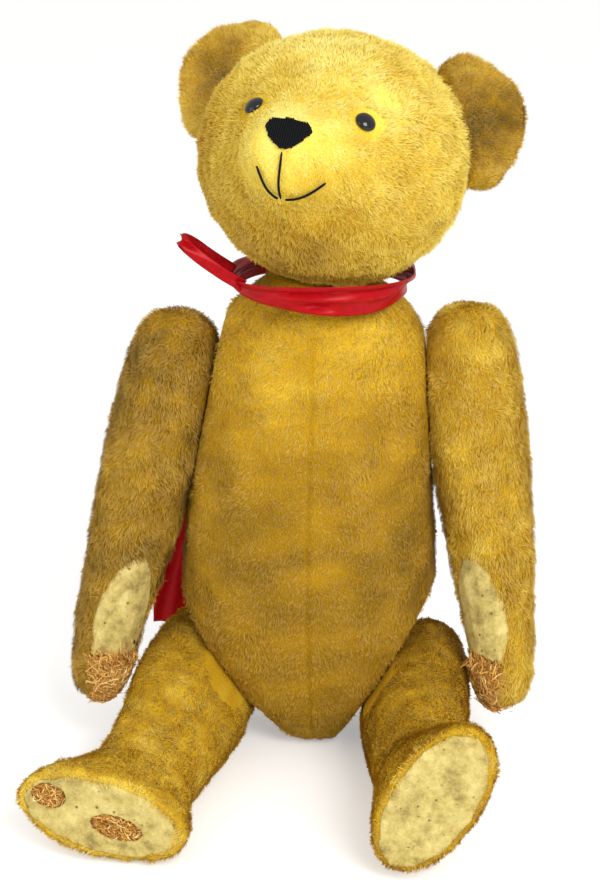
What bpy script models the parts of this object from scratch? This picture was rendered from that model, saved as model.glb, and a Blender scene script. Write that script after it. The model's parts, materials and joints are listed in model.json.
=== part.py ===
"""Jointed bear stuffed with wood wool, seated. Metres, +Z up, the bear faces -Y.

The origin is the middle of the flat seat face under the torso. Left and right are the bear's own.
"""

import math

import bmesh
import bpy
from mathutils import Matrix, Vector
from mathutils.bvhtree import BVHTree

# Sizes in metres and degrees
WALL = 0.0025  # mohair cloth with its pile pressed flat
GAP = 0.0003  # clearance between pieces that touch
FELT = 0.0022

SEAT_DROP = 0.006  # how far the torso's round end runs below the flat seat
TORSO_WIDE = 0.161
TORSO_DEEP = 0.136
SHOULDER_WIDE = 0.143
TORSO_TALL = 0.291

NECK_POINT = (0.0050, -0.003, TORSO_TALL)
NECK_LEAN = 5.5
FACE_TURN = 13.0
FACE_PITCH = 18.0
HEAD_RISE = 0.070
HEAD_WIDE = 0.161
HEAD_TALL = 0.150
MUZZLE_REACH = 0.106
MUZZLE_WIDE = 0.055

EAR_WIDE = 0.084
EAR_REACH = 0.050
EAR_THICK = 0.010
EYE_ACROSS = 0.0125
NOSE_WIDE = 0.027
NOSE_TALL = 0.0155
NOSE_PAD = 0.0026
THREAD = 0.0016

SHOULDER_SINK_R = 0.0095  # how far the joint lies in from the widest half of the shoulders
SHOULDER_SINK_L = 0.0059
SHOULDER_DROP_R = 0.065  # how far the joint lies below the neck
SHOULDER_DROP_L = 0.055
SHOULDER_R = (SHOULDER_SINK_R - SHOULDER_WIDE / 2, 0.0, TORSO_TALL - SHOULDER_DROP_R)
SHOULDER_L = (SHOULDER_WIDE / 2 - SHOULDER_SINK_L, 0.0, TORSO_TALL - SHOULDER_DROP_L)
SHOULDER_TILT_R = 11.0
SHOULDER_TILT_L = -3.9
ARM_SWING = 8.0
ARM_LONG = 0.204
ARM_SPLAY_R = 0.008
ARM_SPLAY_L = 0.0125
ARM_THICK = 0.064
ARM_DEEP = 0.076
WRIST_THICK = 0.042
WRIST_DEEP = 0.052
PAW_PAD_WIDE = 0.034
PAW_PAD_LONG = 0.098
PAW_AHEAD = 0.017  # how far the paw curves forward of the arm
WORN_PAW_R = 0.029
WORN_PAW_L = 0.027

HIP_R = (-0.049, -0.004, 0.0538)
HIP_L = (0.041, -0.006, 0.0496)
HIP_TILT_R = 37.0
HIP_TILT_L = 30.0
HIP_TURN_R = 0.084
HIP_TURN_L = -0.020
LEG_OUT_R = 2.6
LEG_OUT_L = -0.5
LEG_RISE_R = -0.050
LEG_RISE_L = 0.030
LEG_ROLL_R = 39.0
LEG_ROLL_L = 0.0
LEG_SPLAY_R = 0.018
LEG_SPLAY_L = 0.010
LEG_LONG = 0.182
THIGH_THICK = 0.061
THIGH_DEEP = 0.085
ANKLE_THICK = 0.046
ANKLE_DEEP = 0.056
FOOT_LONG = 0.103
FOOT_WIDE = 0.054
TOE_AHEAD = 0.016  # how far the foot's middle lies ahead of the shin
WORN_SOLE_R = ((0.030, -0.004, 0.0075, 1.3), (-0.010, 0.004, 0.0075, 2.0))  # along, across, radius, stretch

DISC_THICK = 0.003
WASHER_THICK = 0.001
WASHER_ACROSS = 0.018
PIN_WIRE = 0.0022
NECK_DISC = 0.034
SHOULDER_DISC = 0.036
HIP_DISC = 0.037
SHOULDER_PRESS = 0.007  # how deep the shoulder is pressed flat
HIP_PRESS = 0.006

RIBBON_WIDE = 0.024
RIBBON_THICK = 0.0012
RIBBON_RING_X = 0.0585
RIBBON_RING_Y = 0.0545
RIBBON_RISE = -0.0028  # where the middle of the ring lies above the neck joint
RIBBON_Z = NECK_POINT[2] + RIBBON_RISE
KNOT = 0.010

EXCELSIOR = (0.37, 0.19, 0.035)
MOHAIR = (0.50, 0.27, 0.03)


def new_collection(name, hidden=False):
    made = bpy.data.collections.new(name)
    bpy.context.scene.collection.children.link(made)
    made.hide_render = hidden
    return made


def material(name, colour, roughness, metallic=0.0):
    made = bpy.data.materials.new(name)
    made.use_nodes = True
    shader = made.node_tree.nodes["Principled BSDF"]
    shader.inputs["Base Color"].default_value = (*colour, 1.0)
    shader.inputs["Roughness"].default_value = roughness
    shader.inputs["Metallic"].default_value = metallic
    made.diffuse_color = (*colour, 1.0)
    return made


def place(name, mesh, parent=None, looks=None, matrix=None):
    made = bpy.data.objects.new(name, mesh)
    (BEAR if looks else CUTTERS).objects.link(made)
    if looks:
        mesh.materials.append(material(name, *looks))
    else:
        made.hide_render = True
        made.display_type = "WIRE"
    if parent:
        made.parent = parent
    if matrix is not None:
        made.matrix_local = matrix
    return made


def mesh_of(bm, name, smooth=True):
    bmesh.ops.recalc_face_normals(bm, faces=bm.faces[:])
    mesh = bpy.data.meshes.new(name)
    bm.to_mesh(mesh)
    bm.free()
    if smooth:
        mesh.shade_smooth()
    return mesh


def loft(name, rings, closed=False):
    """A skin over rings of points, with a face at each end, or run round into itself."""
    bm = bmesh.new()
    rows = [[bm.verts.new(p) for p in ring] for ring in rings]
    count = len(rings[0])
    for low, high in zip(rows, rows[1:] + (rows[:1] if closed else [])):
        for i in range(count):
            j = (i + 1) % count
            bm.faces.new((low[i], low[j], high[j], high[i]))
    if not closed:
        bm.faces.new(rows[0])
        bm.faces.new(rows[-1])
    return mesh_of(bm, name)


def swell(count):
    """How much a cage of this many corners is enlarged so that its smoothed ring keeps its size."""
    return 8 / (6 + 2 * math.cos(2 * math.pi / count))


def subdivide(obj):
    soft = obj.modifiers.new("soft", "SUBSURF")
    soft.levels = soft.render_levels = 1
    split = obj.modifiers.new("split", "TRIANGULATE")
    split.quad_method = "FIXED"
    return obj


def boolean(obj, other, operation="DIFFERENCE"):
    cut = obj.modifiers.new(operation.lower(), "BOOLEAN")
    cut.operation = operation
    cut.object = other
    cut.solver = "EXACT"
    return obj


def cylinder(name, radius, low, high, segments=16, parent=None, looks=None, stretch=1.0, matrix=None):
    """A round or oval bar along local Z from low to high; stretch makes it longer along local X."""
    bm = bmesh.new()
    bmesh.ops.create_cone(
        bm, cap_ends=True, segments=segments, radius1=radius, radius2=radius, depth=high - low,
        matrix=Matrix.Translation((0, 0, (low + high) / 2)),
    )
    bmesh.ops.scale(bm, vec=(stretch, 1, 1), verts=bm.verts[:])
    mesh = mesh_of(bm, name)
    mesh.set_sharp_from_angle(angle=math.radians(40))
    return place(name, mesh, parent, looks, matrix)


def slab(name, low, high, parent=None, matrix=None, half=0.3):
    """A wide block along local Z from low to high, which cuts all that it covers."""
    bm = bmesh.new()
    bmesh.ops.create_cube(bm, size=1.0)
    bmesh.ops.scale(bm, vec=(2 * half, 2 * half, high - low), verts=bm.verts[:])
    bmesh.ops.translate(bm, vec=(0, 0, (low + high) / 2), verts=bm.verts[:])
    return place(name, mesh_of(bm, name, False), parent, None, matrix)


def joint_empty(name, point, normal, along):
    """An empty on a joint: local Z is the axis, out of the torso, and local X runs down the limb."""
    z = Vector(normal).normalized()
    x = Vector(along)
    x = (x - z * x.dot(z)).normalized()
    y = z.cross(x)
    made = bpy.data.objects.new(name, None)
    made.empty_display_size = 0.03
    BEAR.objects.link(made)
    made.matrix_world = Matrix.Translation(point) @ Matrix((x, y, z)).transposed().to_4x4()
    return made


def joint_hardware(joint, name, across):
    """Cardboard disc and steel washer on both sides of the seam, and the cotter pin through all four."""
    hole = PIN_WIRE + 2 * GAP
    inside = GAP / 2 + WALL + GAP
    washer = inside + DISC_THICK + GAP
    board = ((0.33, 0.22, 0.11), 0.9)
    steel = ((0.35, 0.33, 0.30), 0.45, 1.0)
    bore = cylinder(name + "_bore", hole, -0.03, 0.03, 6, joint)
    for side, sign in (("outer", 1), ("inner", -1)):
        disc = cylinder(
            f"{name}_disc_{side}", across / 2, *sorted((sign * inside, sign * (inside + DISC_THICK))),
            12, joint, board,
        )
        boolean(disc, bore)
        ring = cylinder(
            f"{name}_washer_{side}", WASHER_ACROSS / 2,
            *sorted((sign * washer, sign * (washer + WASHER_THICK))), 8, joint, steel,
        )
        boolean(ring, bore)
    rest = washer + WASHER_THICK + GAP + PIN_WIRE / 2
    leg = PIN_WIRE / 2 + GAP / 2
    curl = WASHER_ACROSS / 2 - PIN_WIRE
    route = [
        (leg + curl, -rest - 0.004), (leg + curl * 0.55, -rest - 0.0005), (leg, -rest + 0.0009),
        (leg, rest - 0.0002), (leg + 0.0026, rest + 0.0035), (0, rest + 0.0085),
    ]
    route += [(-x, z) for x, z in reversed(route[:-1])]
    curve = bpy.data.curves.new(name + "_pin", "CURVE")
    curve.dimensions = "3D"
    curve.bevel_depth = PIN_WIRE / 2 * 0.96
    curve.bevel_resolution = 0
    curve.use_fill_caps = True
    line = curve.splines.new("POLY")
    line.points.add(len(route) - 1)
    for point, (x, z) in zip(line.points, route):
        point.co = (x, 0, z, 1)
    curve.materials.append(material(name + "_pin", *steel))
    pin = bpy.data.objects.new(name + "_pin", curve)
    BEAR.objects.link(pin)
    pin.parent = joint
    return bore


def pocket(name, joint, across, sign):
    """The room that a joint's disc, washer and pin take out of the stuffing behind them."""
    inside = GAP / 2 + WALL
    deep = inside + GAP + DISC_THICK + GAP
    low, high = sorted((sign * (inside - GAP / 4), sign * deep))
    wide = cylinder(name + "_pocket", across / 2 + GAP, low, high, 12, joint)
    low, high = sorted((sign * inside, sign * (deep + WASHER_THICK + 0.0145)))
    core = cylinder(name + "_core", WASHER_ACROSS / 2 + 2 * GAP, low, high, 8, joint)
    return [wide, core]


def body_of(stations, shrink, count, section):
    """Rings of a soft form: each station gives its own centre, half sizes and roll."""
    grow = swell(count)
    rings = []
    for station in stations:
        ring = []
        for i in range(count):
            angle = 2 * math.pi * (i + 0.5) / count
            ring.append(section(station, math.cos(angle) * grow, math.sin(angle) * grow, shrink))
        rings.append(ring)
    return rings


def torso_section(station, c, s, shrink):
    z, x, a, y, b = station
    return (x + (a - shrink) * c, y + (b - shrink) * s, z)


def torso_rings(shrink, count=8):
    a, b, h = TORSO_WIDE / 2, TORSO_DEEP / 2, TORSO_TALL
    w = SHOULDER_WIDE / 2
    stations = [
        (-SEAT_DROP + shrink, 0, a * 0.36, b * 0.176, b * 0.50),
        (h * 0.045 + shrink * 0.5, -a * 0.012, a * 0.60, b * 0.103, b * 0.70),
        (h * 0.155, -a * 0.025, a * 0.87, b * 0.015, b * 0.89),
        (h * 0.300, -a * 0.050, a * 1.02, -b * 0.059, b * 1.01),
        (h * 0.470, -a * 0.050, a * 0.985, -b * 0.074, b * 0.98),
        (h * 0.710, 0, w * 1.04, -b * 0.015, b * 0.86),
        (h * 0.905, w * 0.028, w * 0.93, 0, b * 0.66),
        (h * 0.985 - shrink * 0.7, w * 0.042, w * 0.58, -b * 0.029, b * 0.46),
        (h * 1.030 - shrink, w * 0.042, w * 0.36, -b * 0.029, b * 0.32),
    ]
    return body_of(stations, shrink, count, torso_section)


def limb_section(station, c, s, shrink):
    x, off, front, thick, deep, roll = station
    side = limb_section.side
    cr, sr = math.cos(math.radians(roll)), math.sin(math.radians(roll))
    y = side * front + (deep - shrink) * s * side * cr - (thick - shrink) * c * side * sr
    z = off + (deep - shrink) * s * sr + (thick - shrink) * c * cr
    return (x, y, z)


def arm_rings(shrink, side, splay, count=6):
    t, d, w, e, n = ARM_THICK / 2, ARM_DEEP / 2, WRIST_THICK / 2, WRIST_DEEP / 2, ARM_LONG
    off = t - SHOULDER_PRESS
    stations = [
        (-d * 1.026 + shrink, off, 0, t * 0.45, d * 0.42, 0),
        (-d * 0.68 + shrink * 0.5, off, 0, t * 0.80, d * 0.82, 0),
        (d * 0.10, off, 0, t, d, 0),
        (n * 0.42, off + splay * 0.5, 0, (t + w) * 0.545, (d + e) * 0.52, 0),
        (n * 0.75, off + splay * 0.9, PAW_AHEAD * 0.47, w, e, 0),
        (n * 0.91 - shrink * 0.5, off + splay, PAW_AHEAD * 0.82, w * 0.90, e * 0.88, 0),
        (n * 1.00 - shrink, off + splay, PAW_AHEAD, w * 0.52, e * 0.52, 0),
    ]
    limb_section.side = side
    return body_of(stations, shrink, count, limb_section)


def leg_rings(shrink, side, roll, splay, count=6):
    t, d, w, e, n = THIGH_THICK / 2, THIGH_DEEP / 2, ANKLE_THICK / 2, ANKLE_DEEP / 2, LEG_LONG
    off = t - HIP_PRESS
    foot, sole = FOOT_LONG / 2, FOOT_WIDE / 2
    stations = [
        (-d + shrink, off, 0, t * 0.45, d * 0.42, 0),
        (-d * 0.68 + shrink * 0.5, off, 0, t * 0.82, d * 0.82, 0),
        (d * 0.15, off, 0, t, d, 0),
        (n * 0.32, off + splay * 0.22, 0, t, d * 0.92, roll * 0.2),
        (n * 0.55, off + splay * 0.48, 0, (t + w) * 0.48, (d + e) * 0.46, roll * 0.55),
        (n * 0.74, off + splay * 0.74, TOE_AHEAD * 0.19, w, e, roll * 0.85),
        (n * 0.87, off + splay * 0.92, TOE_AHEAD * 0.75, sole * 0.95, foot * 0.86, roll),
        (n * 0.97, off + splay, TOE_AHEAD, sole, foot, roll),
        (n * 1.12, off + splay, TOE_AHEAD, sole * 0.96, foot * 0.96, roll),
    ]
    limb_section.side = side
    return body_of(stations, shrink, count, limb_section)


def head_section(station, c, s, shrink):
    x, up, a, b = station
    pitch = math.radians(FACE_PITCH)
    up = up + (b - shrink) * s
    return (
        0.004 + x * math.cos(pitch) - up * math.sin(pitch),
        (a - shrink) * c,
        HEAD_RISE + x * math.sin(pitch) + up * math.cos(pitch),
    )


def head_rings(shrink, count=8):
    a, b, m, r = HEAD_WIDE / 2, HEAD_TALL / 2, MUZZLE_WIDE / 2, MUZZLE_REACH
    stations = [
        (-b + shrink, 0, a * 0.34, b * 0.34),
        (-b * 0.78 + shrink * 0.4, 0, a * 0.68, b * 0.70),
        (-b * 0.20, 0, a, b),
        (b * 0.32, 0, a * 0.985, b * 0.965),
        (r * 0.43, -b * 0.053, a * 0.78, b * 0.78),
        (r * 0.59, -b * 0.133, (a + m) * 0.375, (b + m) * 0.355),
        (r * 0.80, -b * 0.173, m, m * 0.92),
        (r * 0.97 - shrink * 0.5, -b * 0.173, m * 0.62, m * 0.58),
    ]
    return body_of(stations, shrink, count, head_section)


for old in list(bpy.data.objects):
    bpy.data.objects.remove(old, do_unlink=True)
BEAR = new_collection("jointed_bear")
CUTTERS = new_collection("cutters", True)

CLOTH = (MOHAIR, 0.95)
WOOL = (EXCELSIOR, 0.9)
PALE_FELT = ((0.62, 0.49, 0.22), 1.0)

# Joints: one empty each, on the axis, where the two flat faces meet
lean = math.radians(NECK_LEAN)
turn = math.radians(FACE_TURN)
neck = joint_empty(
    "neck_joint", NECK_POINT, (math.sin(lean), 0, math.cos(lean)), (-math.sin(turn), -math.cos(turn), 0)
)


def shoulder(name, point, tilt, side):
    t, swing = math.radians(tilt), math.radians(ARM_SWING)
    out = (-side * math.cos(t), 0, side * math.sin(t) * side)
    down = Vector((-side * math.sin(t), 0, -math.cos(t)))
    return joint_empty(name, point, out, down * math.cos(swing) + Vector((0, -math.sin(swing), 0)))


def hip(name, point, tilt, ahead, outward, rise, side):
    t, o = math.radians(tilt), math.radians(outward)
    out = (-side * math.cos(t), ahead, -math.sin(t))
    return joint_empty(name, point, out, (-side * math.sin(o), -math.cos(o), rise))


shoulder_right = shoulder("shoulder_right_joint", SHOULDER_R, SHOULDER_TILT_R, 1)
shoulder_left = shoulder("shoulder_left_joint", SHOULDER_L, -SHOULDER_TILT_L, -1)
hip_right = hip("hip_right_joint", HIP_R, HIP_TILT_R, HIP_TURN_R, LEG_OUT_R, LEG_RISE_R, 1)
hip_left = hip("hip_left_joint", HIP_L, HIP_TILT_L, HIP_TURN_L, LEG_OUT_L, LEG_RISE_L, -1)
JOINTS = {
    "neck": (neck, NECK_DISC),
    "shoulder_right": (shoulder_right, SHOULDER_DISC),
    "shoulder_left": (shoulder_left, SHOULDER_DISC),
    "hip_right": (hip_right, HIP_DISC),
    "hip_left": (hip_left, HIP_DISC),
}
bores = {name: joint_hardware(empty, name, across) for name, (empty, across) in JOINTS.items()}

# Torso: cloth over a wood-wool body, pressed flat at the seat and where each limb lies on it
torso = subdivide(place("torso_cover", loft("torso", torso_rings(0, 10)), None, CLOTH))
torso_inside = subdivide(place("torso_inside", loft("torso_inside", torso_rings(WALL))))
torso_stuffing = subdivide(place("torso_stuffing", loft("torso_stuffing", torso_rings(WALL + GAP)), None, WOOL))
boolean(torso, slab("seat_cut", -0.1, 0.0))
boolean(torso_inside, slab("seat_cut_inside", -0.1, WALL))
boolean(torso_stuffing, slab("seat_cut_stuffing", -0.1, WALL + GAP))
presses = []
for name, (empty, across) in JOINTS.items():
    boolean(torso, slab(name + "_torso_cut", -GAP / 2, 0.25, empty))
    boolean(torso_inside, slab(name + "_torso_cut_inside", -GAP / 2 - WALL, 0.25, empty))
    boolean(torso_stuffing, slab(name + "_torso_cut_stuffing", -GAP / 2 - WALL - GAP, 0.25, empty))
    rooms = pocket(name + "_torso", empty, across, -1)
    presses.append(rooms[0])
    for room in rooms:
        boolean(torso_stuffing, room)
boolean(torso, torso_inside)
for press in presses:
    boolean(torso, press)
for name in JOINTS:
    boolean(torso, bores[name])


def limb(name, empty, across, rings):
    """Cover, hollow and stuffing of one limb, flat where it lies on the torso."""
    cover = subdivide(place(name + "_cover", loft(name, rings(0, 8)), empty, CLOTH))
    inside = subdivide(place(name + "_inside", loft(name + "_in", rings(WALL)), empty))
    stuffing = subdivide(place(name + "_stuffing", loft(name + "_fill", rings(WALL + GAP)), empty, WOOL))
    boolean(cover, slab(name + "_flat", -0.25, GAP / 2, empty))
    boolean(inside, slab(name + "_flat_inside", -0.25, GAP / 2 + WALL, empty))
    boolean(stuffing, slab(name + "_flat_stuffing", -0.25, GAP / 2 + WALL + GAP, empty))
    rooms = pocket(name, empty, across, 1)
    for room in rooms:
        boolean(stuffing, room)
    return cover, inside, stuffing, rooms[0]


def facing(x, y, z, direction, along):
    """Local matrix at a point, with Z along a direction and X near another."""
    w = Vector(direction).normalized()
    u = Vector(along)
    u = (u - w * u.dot(w)).normalized()
    return Matrix.Translation((x, y, z)) @ Matrix((u, w.cross(u), w)).transposed().to_4x4()


def copy_as(source, name, parent, looks=None):
    made = place(name, source.data.copy(), parent, looks)
    if looks:
        while len(made.data.materials) > 1:
            made.data.materials.pop(index=0)
    return subdivide(made)


# Arms: a felt pad let into the front of each paw, worn through at the tip
def arm(name, empty, joint, side, pad_lean, worn, splay):
    cover, inside, stuffing, press = limb(name, empty, SHOULDER_DISC, lambda s, count=6: arm_rings(s, side, splay, count))
    middle = ARM_THICK / 2 - SHOULDER_PRESS + splay
    spot = facing(
        ARM_LONG - PAW_PAD_LONG / 2, side * PAW_AHEAD * 0.82, middle,
        (0.10, side * math.cos(pad_lean), -math.sin(pad_lean)), (1, 0, 0),
    )
    ratio = PAW_PAD_LONG / PAW_PAD_WIDE
    root = WRIST_DEEP * 0.12
    frame = cylinder(name + "_pad_opening", PAW_PAD_WIDE / 2, root - GAP, 0.08, 14, empty, None, ratio, spot)
    edge = cylinder(name + "_pad_edge", PAW_PAD_WIDE / 2 - GAP, root, 0.08, 14, empty, None, ratio, spot)
    hole_spot = spot @ Matrix.Translation((PAW_PAD_LONG * 0.44, 0, 0))
    hole = cylinder(name + "_pad_hole", worn, 0, 0.08, 12, empty, None, 1.0, hole_spot)
    bulge = cylinder(name + "_wool_bulge", worn - GAP, 0, 0.08, 12, empty, None, 1.0, hole_spot)
    pad = copy_as(cover, name + "_paw_pad", empty, PALE_FELT)
    boolean(pad, edge, "INTERSECT")
    boolean(pad, inside)
    boolean(pad, hole)
    lump = copy_as(cover, name + "_lump", empty)
    boolean(lump, edge, "INTERSECT")
    boolean(lump, bulge, "INTERSECT")
    boolean(stuffing, lump, "UNION")
    boolean(cover, inside)
    boolean(cover, press)
    boolean(cover, frame)
    boolean(cover, bores[joint])


arm("arm_right", shoulder_right, "shoulder_right", 1, 0.72, WORN_PAW_R, ARM_SPLAY_R)
arm("arm_left", shoulder_left, "shoulder_left", -1, 0.90, WORN_PAW_L, ARM_SPLAY_L)


# Legs: the sole is an open end that a felt pad fills, flush with the cloth round it
def leg(name, empty, joint, side, roll, splay, holes):
    cover, inside, stuffing, press = limb(name, empty, HIP_DISC, lambda s, count=6: leg_rings(s, side, roll, splay, count))
    ahead = facing(LEG_LONG, 0, 0, (1, 0.0, 0.0), (0, side, 0))
    boolean(cover, slab(name + "_sole_cut", 0, 0.1, empty, ahead))
    boolean(stuffing, slab(name + "_sole_cut_stuffing", -FELT - GAP, 0.1, empty, ahead))
    pad = copy_as(stuffing, name + "_foot_pad", empty, PALE_FELT)
    r = math.radians(roll)
    off = THIGH_THICK / 2 - HIP_PRESS + splay
    toe = Vector((0, side * math.cos(r), math.sin(r)))
    across = Vector((0, -side * math.sin(r), math.cos(r)))
    for number, (along, sideways, radius, stretch) in enumerate(holes):
        spot = Vector((LEG_LONG, side * TOE_AHEAD, off)) + toe * along + across * sideways
        place_hole = facing(*spot, (1, 0, 0), toe)
        hole = cylinder(f"{name}_sole_hole_{number}", radius, -0.03, 0.06, 12, empty, None, stretch, place_hole)
        boolean(pad, hole)
    boolean(pad, slab(name + "_sole_face", -0.4, -FELT, empty, ahead))
    boolean(pad, slab(name + "_sole_face_out", 0, 0.1, empty, ahead))
    boolean(cover, inside)
    boolean(cover, press)
    boolean(cover, bores[joint])


leg("leg_right", hip_right, "hip_right", 1, LEG_ROLL_R, LEG_SPLAY_R, WORN_SOLE_R)
leg("leg_left", hip_left, "hip_left", -1, LEG_ROLL_L, LEG_SPLAY_L, ())

# Head: one round form with a drawn-out muzzle, turned and lifted on the neck joint
head = subdivide(place("head_cover", loft("head", head_rings(0, 10)), neck, CLOTH))
head_inside = subdivide(place("head_inside", loft("head_in", head_rings(WALL)), neck))
head_stuffing = subdivide(place("head_stuffing", loft("head_fill", head_rings(WALL + GAP)), neck, WOOL))
head_near = subdivide(place("head_near", loft("head_near", head_rings(-GAP, 10)), neck))
head_pad = subdivide(place("head_pad", loft("head_pad", head_rings(-GAP - NOSE_PAD, 10)), neck))
neck_flat = slab("head_flat", -0.25, GAP / 2, neck)
boolean(head, neck_flat)
boolean(head_inside, slab("head_flat_inside", -0.25, GAP / 2 + WALL, neck))
boolean(head_stuffing, slab("head_flat_stuffing", -0.25, GAP / 2 + WALL + GAP, neck))
head_rooms = pocket("head", neck, NECK_DISC, 1)
for room in head_rooms:
    boolean(head_stuffing, room)
boolean(head, head_inside)
boolean(head, head_rooms[0])
boolean(head, bores["neck"])

bpy.context.view_layer.update()
skin = head_near.evaluated_get(bpy.context.evaluated_depsgraph_get())
skin_tree = BVHTree.FromPolygons(
    [v.co.copy() for v in skin.data.vertices], [tuple(p.vertices) for p in skin.data.polygons]
)
pitch = math.radians(FACE_PITCH)
AHEAD = Vector((math.cos(pitch), 0, math.sin(pitch)))
UP = Vector((-math.sin(pitch), 0, math.cos(pitch)))
MIDDLE = Vector((0.004, 0, HEAD_RISE))


def on_face(side, up, start=0.0, direction=AHEAD):
    """Where a line from inside the head, offset sideways and up, comes out of the skin."""
    origin = MIDDLE + AHEAD * start + Vector((0, side, 0)) + UP * up
    point, normal, _, _ = skin_tree.ray_cast(origin, direction)
    return point, normal


# Boot-button eyes: a turned dome with a shank through the cloth
def eye(name, side):
    point, normal = on_face(side * HEAD_WIDE * 0.193, HEAD_TALL * 0.082)
    r = EYE_ACROSS / 2
    profile = [(0, 0.0042), (r * 0.45, 0.0038), (r * 0.82, 0.0026), (r, 0.0010), (r * 0.93, 0.0), (0.0011, 0.0), (0.0011, -0.0022), (0, -0.0022)]
    bm = bmesh.new()
    corners = [bm.verts.new((x, 0, z)) for x, z in profile]
    for first, second in zip(corners, corners[1:]):
        bm.edges.new((first, second))
    mesh = bpy.data.meshes.new(name)
    bm.to_mesh(mesh)
    bm.free()
    spot = facing(*(point + normal * 0.0004), normal, (0, 0, 1))
    made = place(name, mesh, neck, ((0.004, 0.004, 0.005), 0.08), spot)
    spin = made.modifiers.new("turned", "SCREW")
    spin.steps = spin.render_steps = 12
    spin.use_merge_vertices = True
    spin.merge_threshold = 0.00005
    spin.use_normal_calculate = True
    boolean(head, cylinder(name + "_hole", 0.0011 + GAP, -0.008, 0.01, 8, neck, None, 1.0, spot))


eye("eye_right", -1)
eye("eye_left", 1)

# Nose: a padded patch of black thread, wide above and pointed below
tip, tip_normal = on_face(0, -0.0172)
bm = bmesh.new()
half, tall = NOSE_WIDE / 2, NOSE_TALL
outline = [
    (-half, tall * 0.35), (-half * 0.72, tall * 0.62), (half * 0.72, tall * 0.62), (half, tall * 0.35),
    (half * 0.62, -tall * 0.12), (0.0016, -tall * 0.42), (-0.0016, -tall * 0.42), (-half * 0.62, -tall * 0.12),
]
face = bm.faces.new([bm.verts.new((y, x, -0.02)) for x, y in outline])
grown = bmesh.ops.extrude_face_region(bm, geom=[face])
bmesh.ops.translate(bm, vec=(0, 0, 0.05), verts=[v for v in grown["geom"] if isinstance(v, bmesh.types.BMVert)])
nose_face = (AHEAD * 0.85 + UP * 0.53).normalized()
nose_up = UP * 0.85 - AHEAD * 0.53
nose_spot = facing(*(tip + UP * 0.009 - AHEAD * 0.004), nose_face, nose_up)
nose_shape = place("nose_shape", mesh_of(bm, "nose_shape", False), neck, None, nose_spot)
nose = place("nose_stitching", head_pad.data.copy(), neck, ((0.012, 0.010, 0.009), 0.7))
subdivide(nose)
boolean(nose, nose_shape, "INTERSECT")
boolean(nose, head_near)


# Mouth: three stitches of one thread, from the nose down and out along the smile
def stitch(name, points):
    curve = bpy.data.curves.new(name, "CURVE")
    curve.dimensions = "3D"
    curve.bevel_depth = THREAD / 2
    curve.bevel_resolution = 1
    curve.use_fill_caps = True
    line = curve.splines.new("POLY")
    line.points.add(len(points) - 1)
    for point, (side, up, start) in zip(line.points, points):
        place_at, normal = on_face(side, up, start)
        point.co = (*(place_at + normal * (THREAD / 2 + 0.0004)), 1)
    curve.materials.append(material(name, (0.012, 0.010, 0.009), 0.7))
    made = bpy.data.objects.new(name, curve)
    BEAR.objects.link(made)
    made.parent = neck


stitch("mouth_middle", [(0, -0.0136 - 0.0028 * i, 0.02) for i in range(9)])
stitch("mouth_right", [(-0.0017 - 0.0028 * i, -0.0360 + 0.00085 * i * i, 0.02) for i in range(5)])
stitch("mouth_left", [(0.0017 + 0.0050 * i, -0.0360 + 0.00072 * i * i, 0.02) for i in range(5)])


# Ears: thick cupped flaps that follow the round of the head
def ear(name, side, round_at, cup):
    columns, rows = 5, 3
    bm = bmesh.new()
    grid = []
    for r in range(rows):
        out = r / (rows - 1)
        line = []
        for c in range(columns):
            across = 2 * c / (columns - 1) - 1
            reach = EAR_REACH * out * math.sqrt(max(0.0, 1 - (0.93 * across) ** 2 * (0.35 + 0.65 * out)))
            spread = across * EAR_WIDE / 2 * (0.90 + 0.22 * out - 0.16 * out * out)
            dish = cup * (1 - across * across) * (1 - 0.45 * out)
            line.append(bm.verts.new((spread, -dish, reach)))
        grid.append(line)
    for low, high in zip(grid, grid[1:]):
        for c in range(columns - 1):
            bm.faces.new((low[c], low[c + 1], high[c + 1], high[c]))
    mesh = mesh_of(bm, name)
    angle = math.radians(round_at)
    outward = Vector((0, side * math.sin(angle), 0)) + UP * math.cos(angle)
    tangent = Vector((0, side * math.cos(angle), 0)) - UP * math.sin(angle)
    origin = MIDDLE - AHEAD * 0.006
    point, normal, _, _ = skin_tree.ray_cast(origin, outward)
    seat = point - outward * 0.010
    turned = Matrix((tangent * side, outward.cross(tangent * side), outward)).transposed().to_4x4()
    made = place(name, mesh, neck, CLOTH, Matrix.Translation(seat) @ turned)
    thick = made.modifiers.new("thick", "SOLIDIFY")
    thick.thickness = EAR_THICK
    thick.offset = 0
    subdivide(made)
    boolean(made, head_near)


ear("ear_right", -1, 63, 0.013)
ear("ear_left", 1, 66, 0.013)


# Ribbon: one long strip round the neck, knotted behind, with a loose loop and two tails
def strip(name, points, across, wide, thick, closed=False, looks=None):
    rings = []
    count = len(points)
    for i, point in enumerate(points):
        before = points[(i - 1) % count] if closed or i else point
        after = points[(i + 1) % count] if closed or i + 1 < count else point
        run = (Vector(after) - Vector(before)).normalized()
        w = Vector(across[i] if isinstance(across, list) else across)
        w = (w - run * w.dot(run)).normalized() * wide / 2
        t = run.cross(w).normalized() * thick / 2
        rings.append([Vector(point) + w + t, Vector(point) - w + t, Vector(point) - w - t, Vector(point) + w - t])
    return place(name, loft(name, rings, closed), None, looks)


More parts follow.
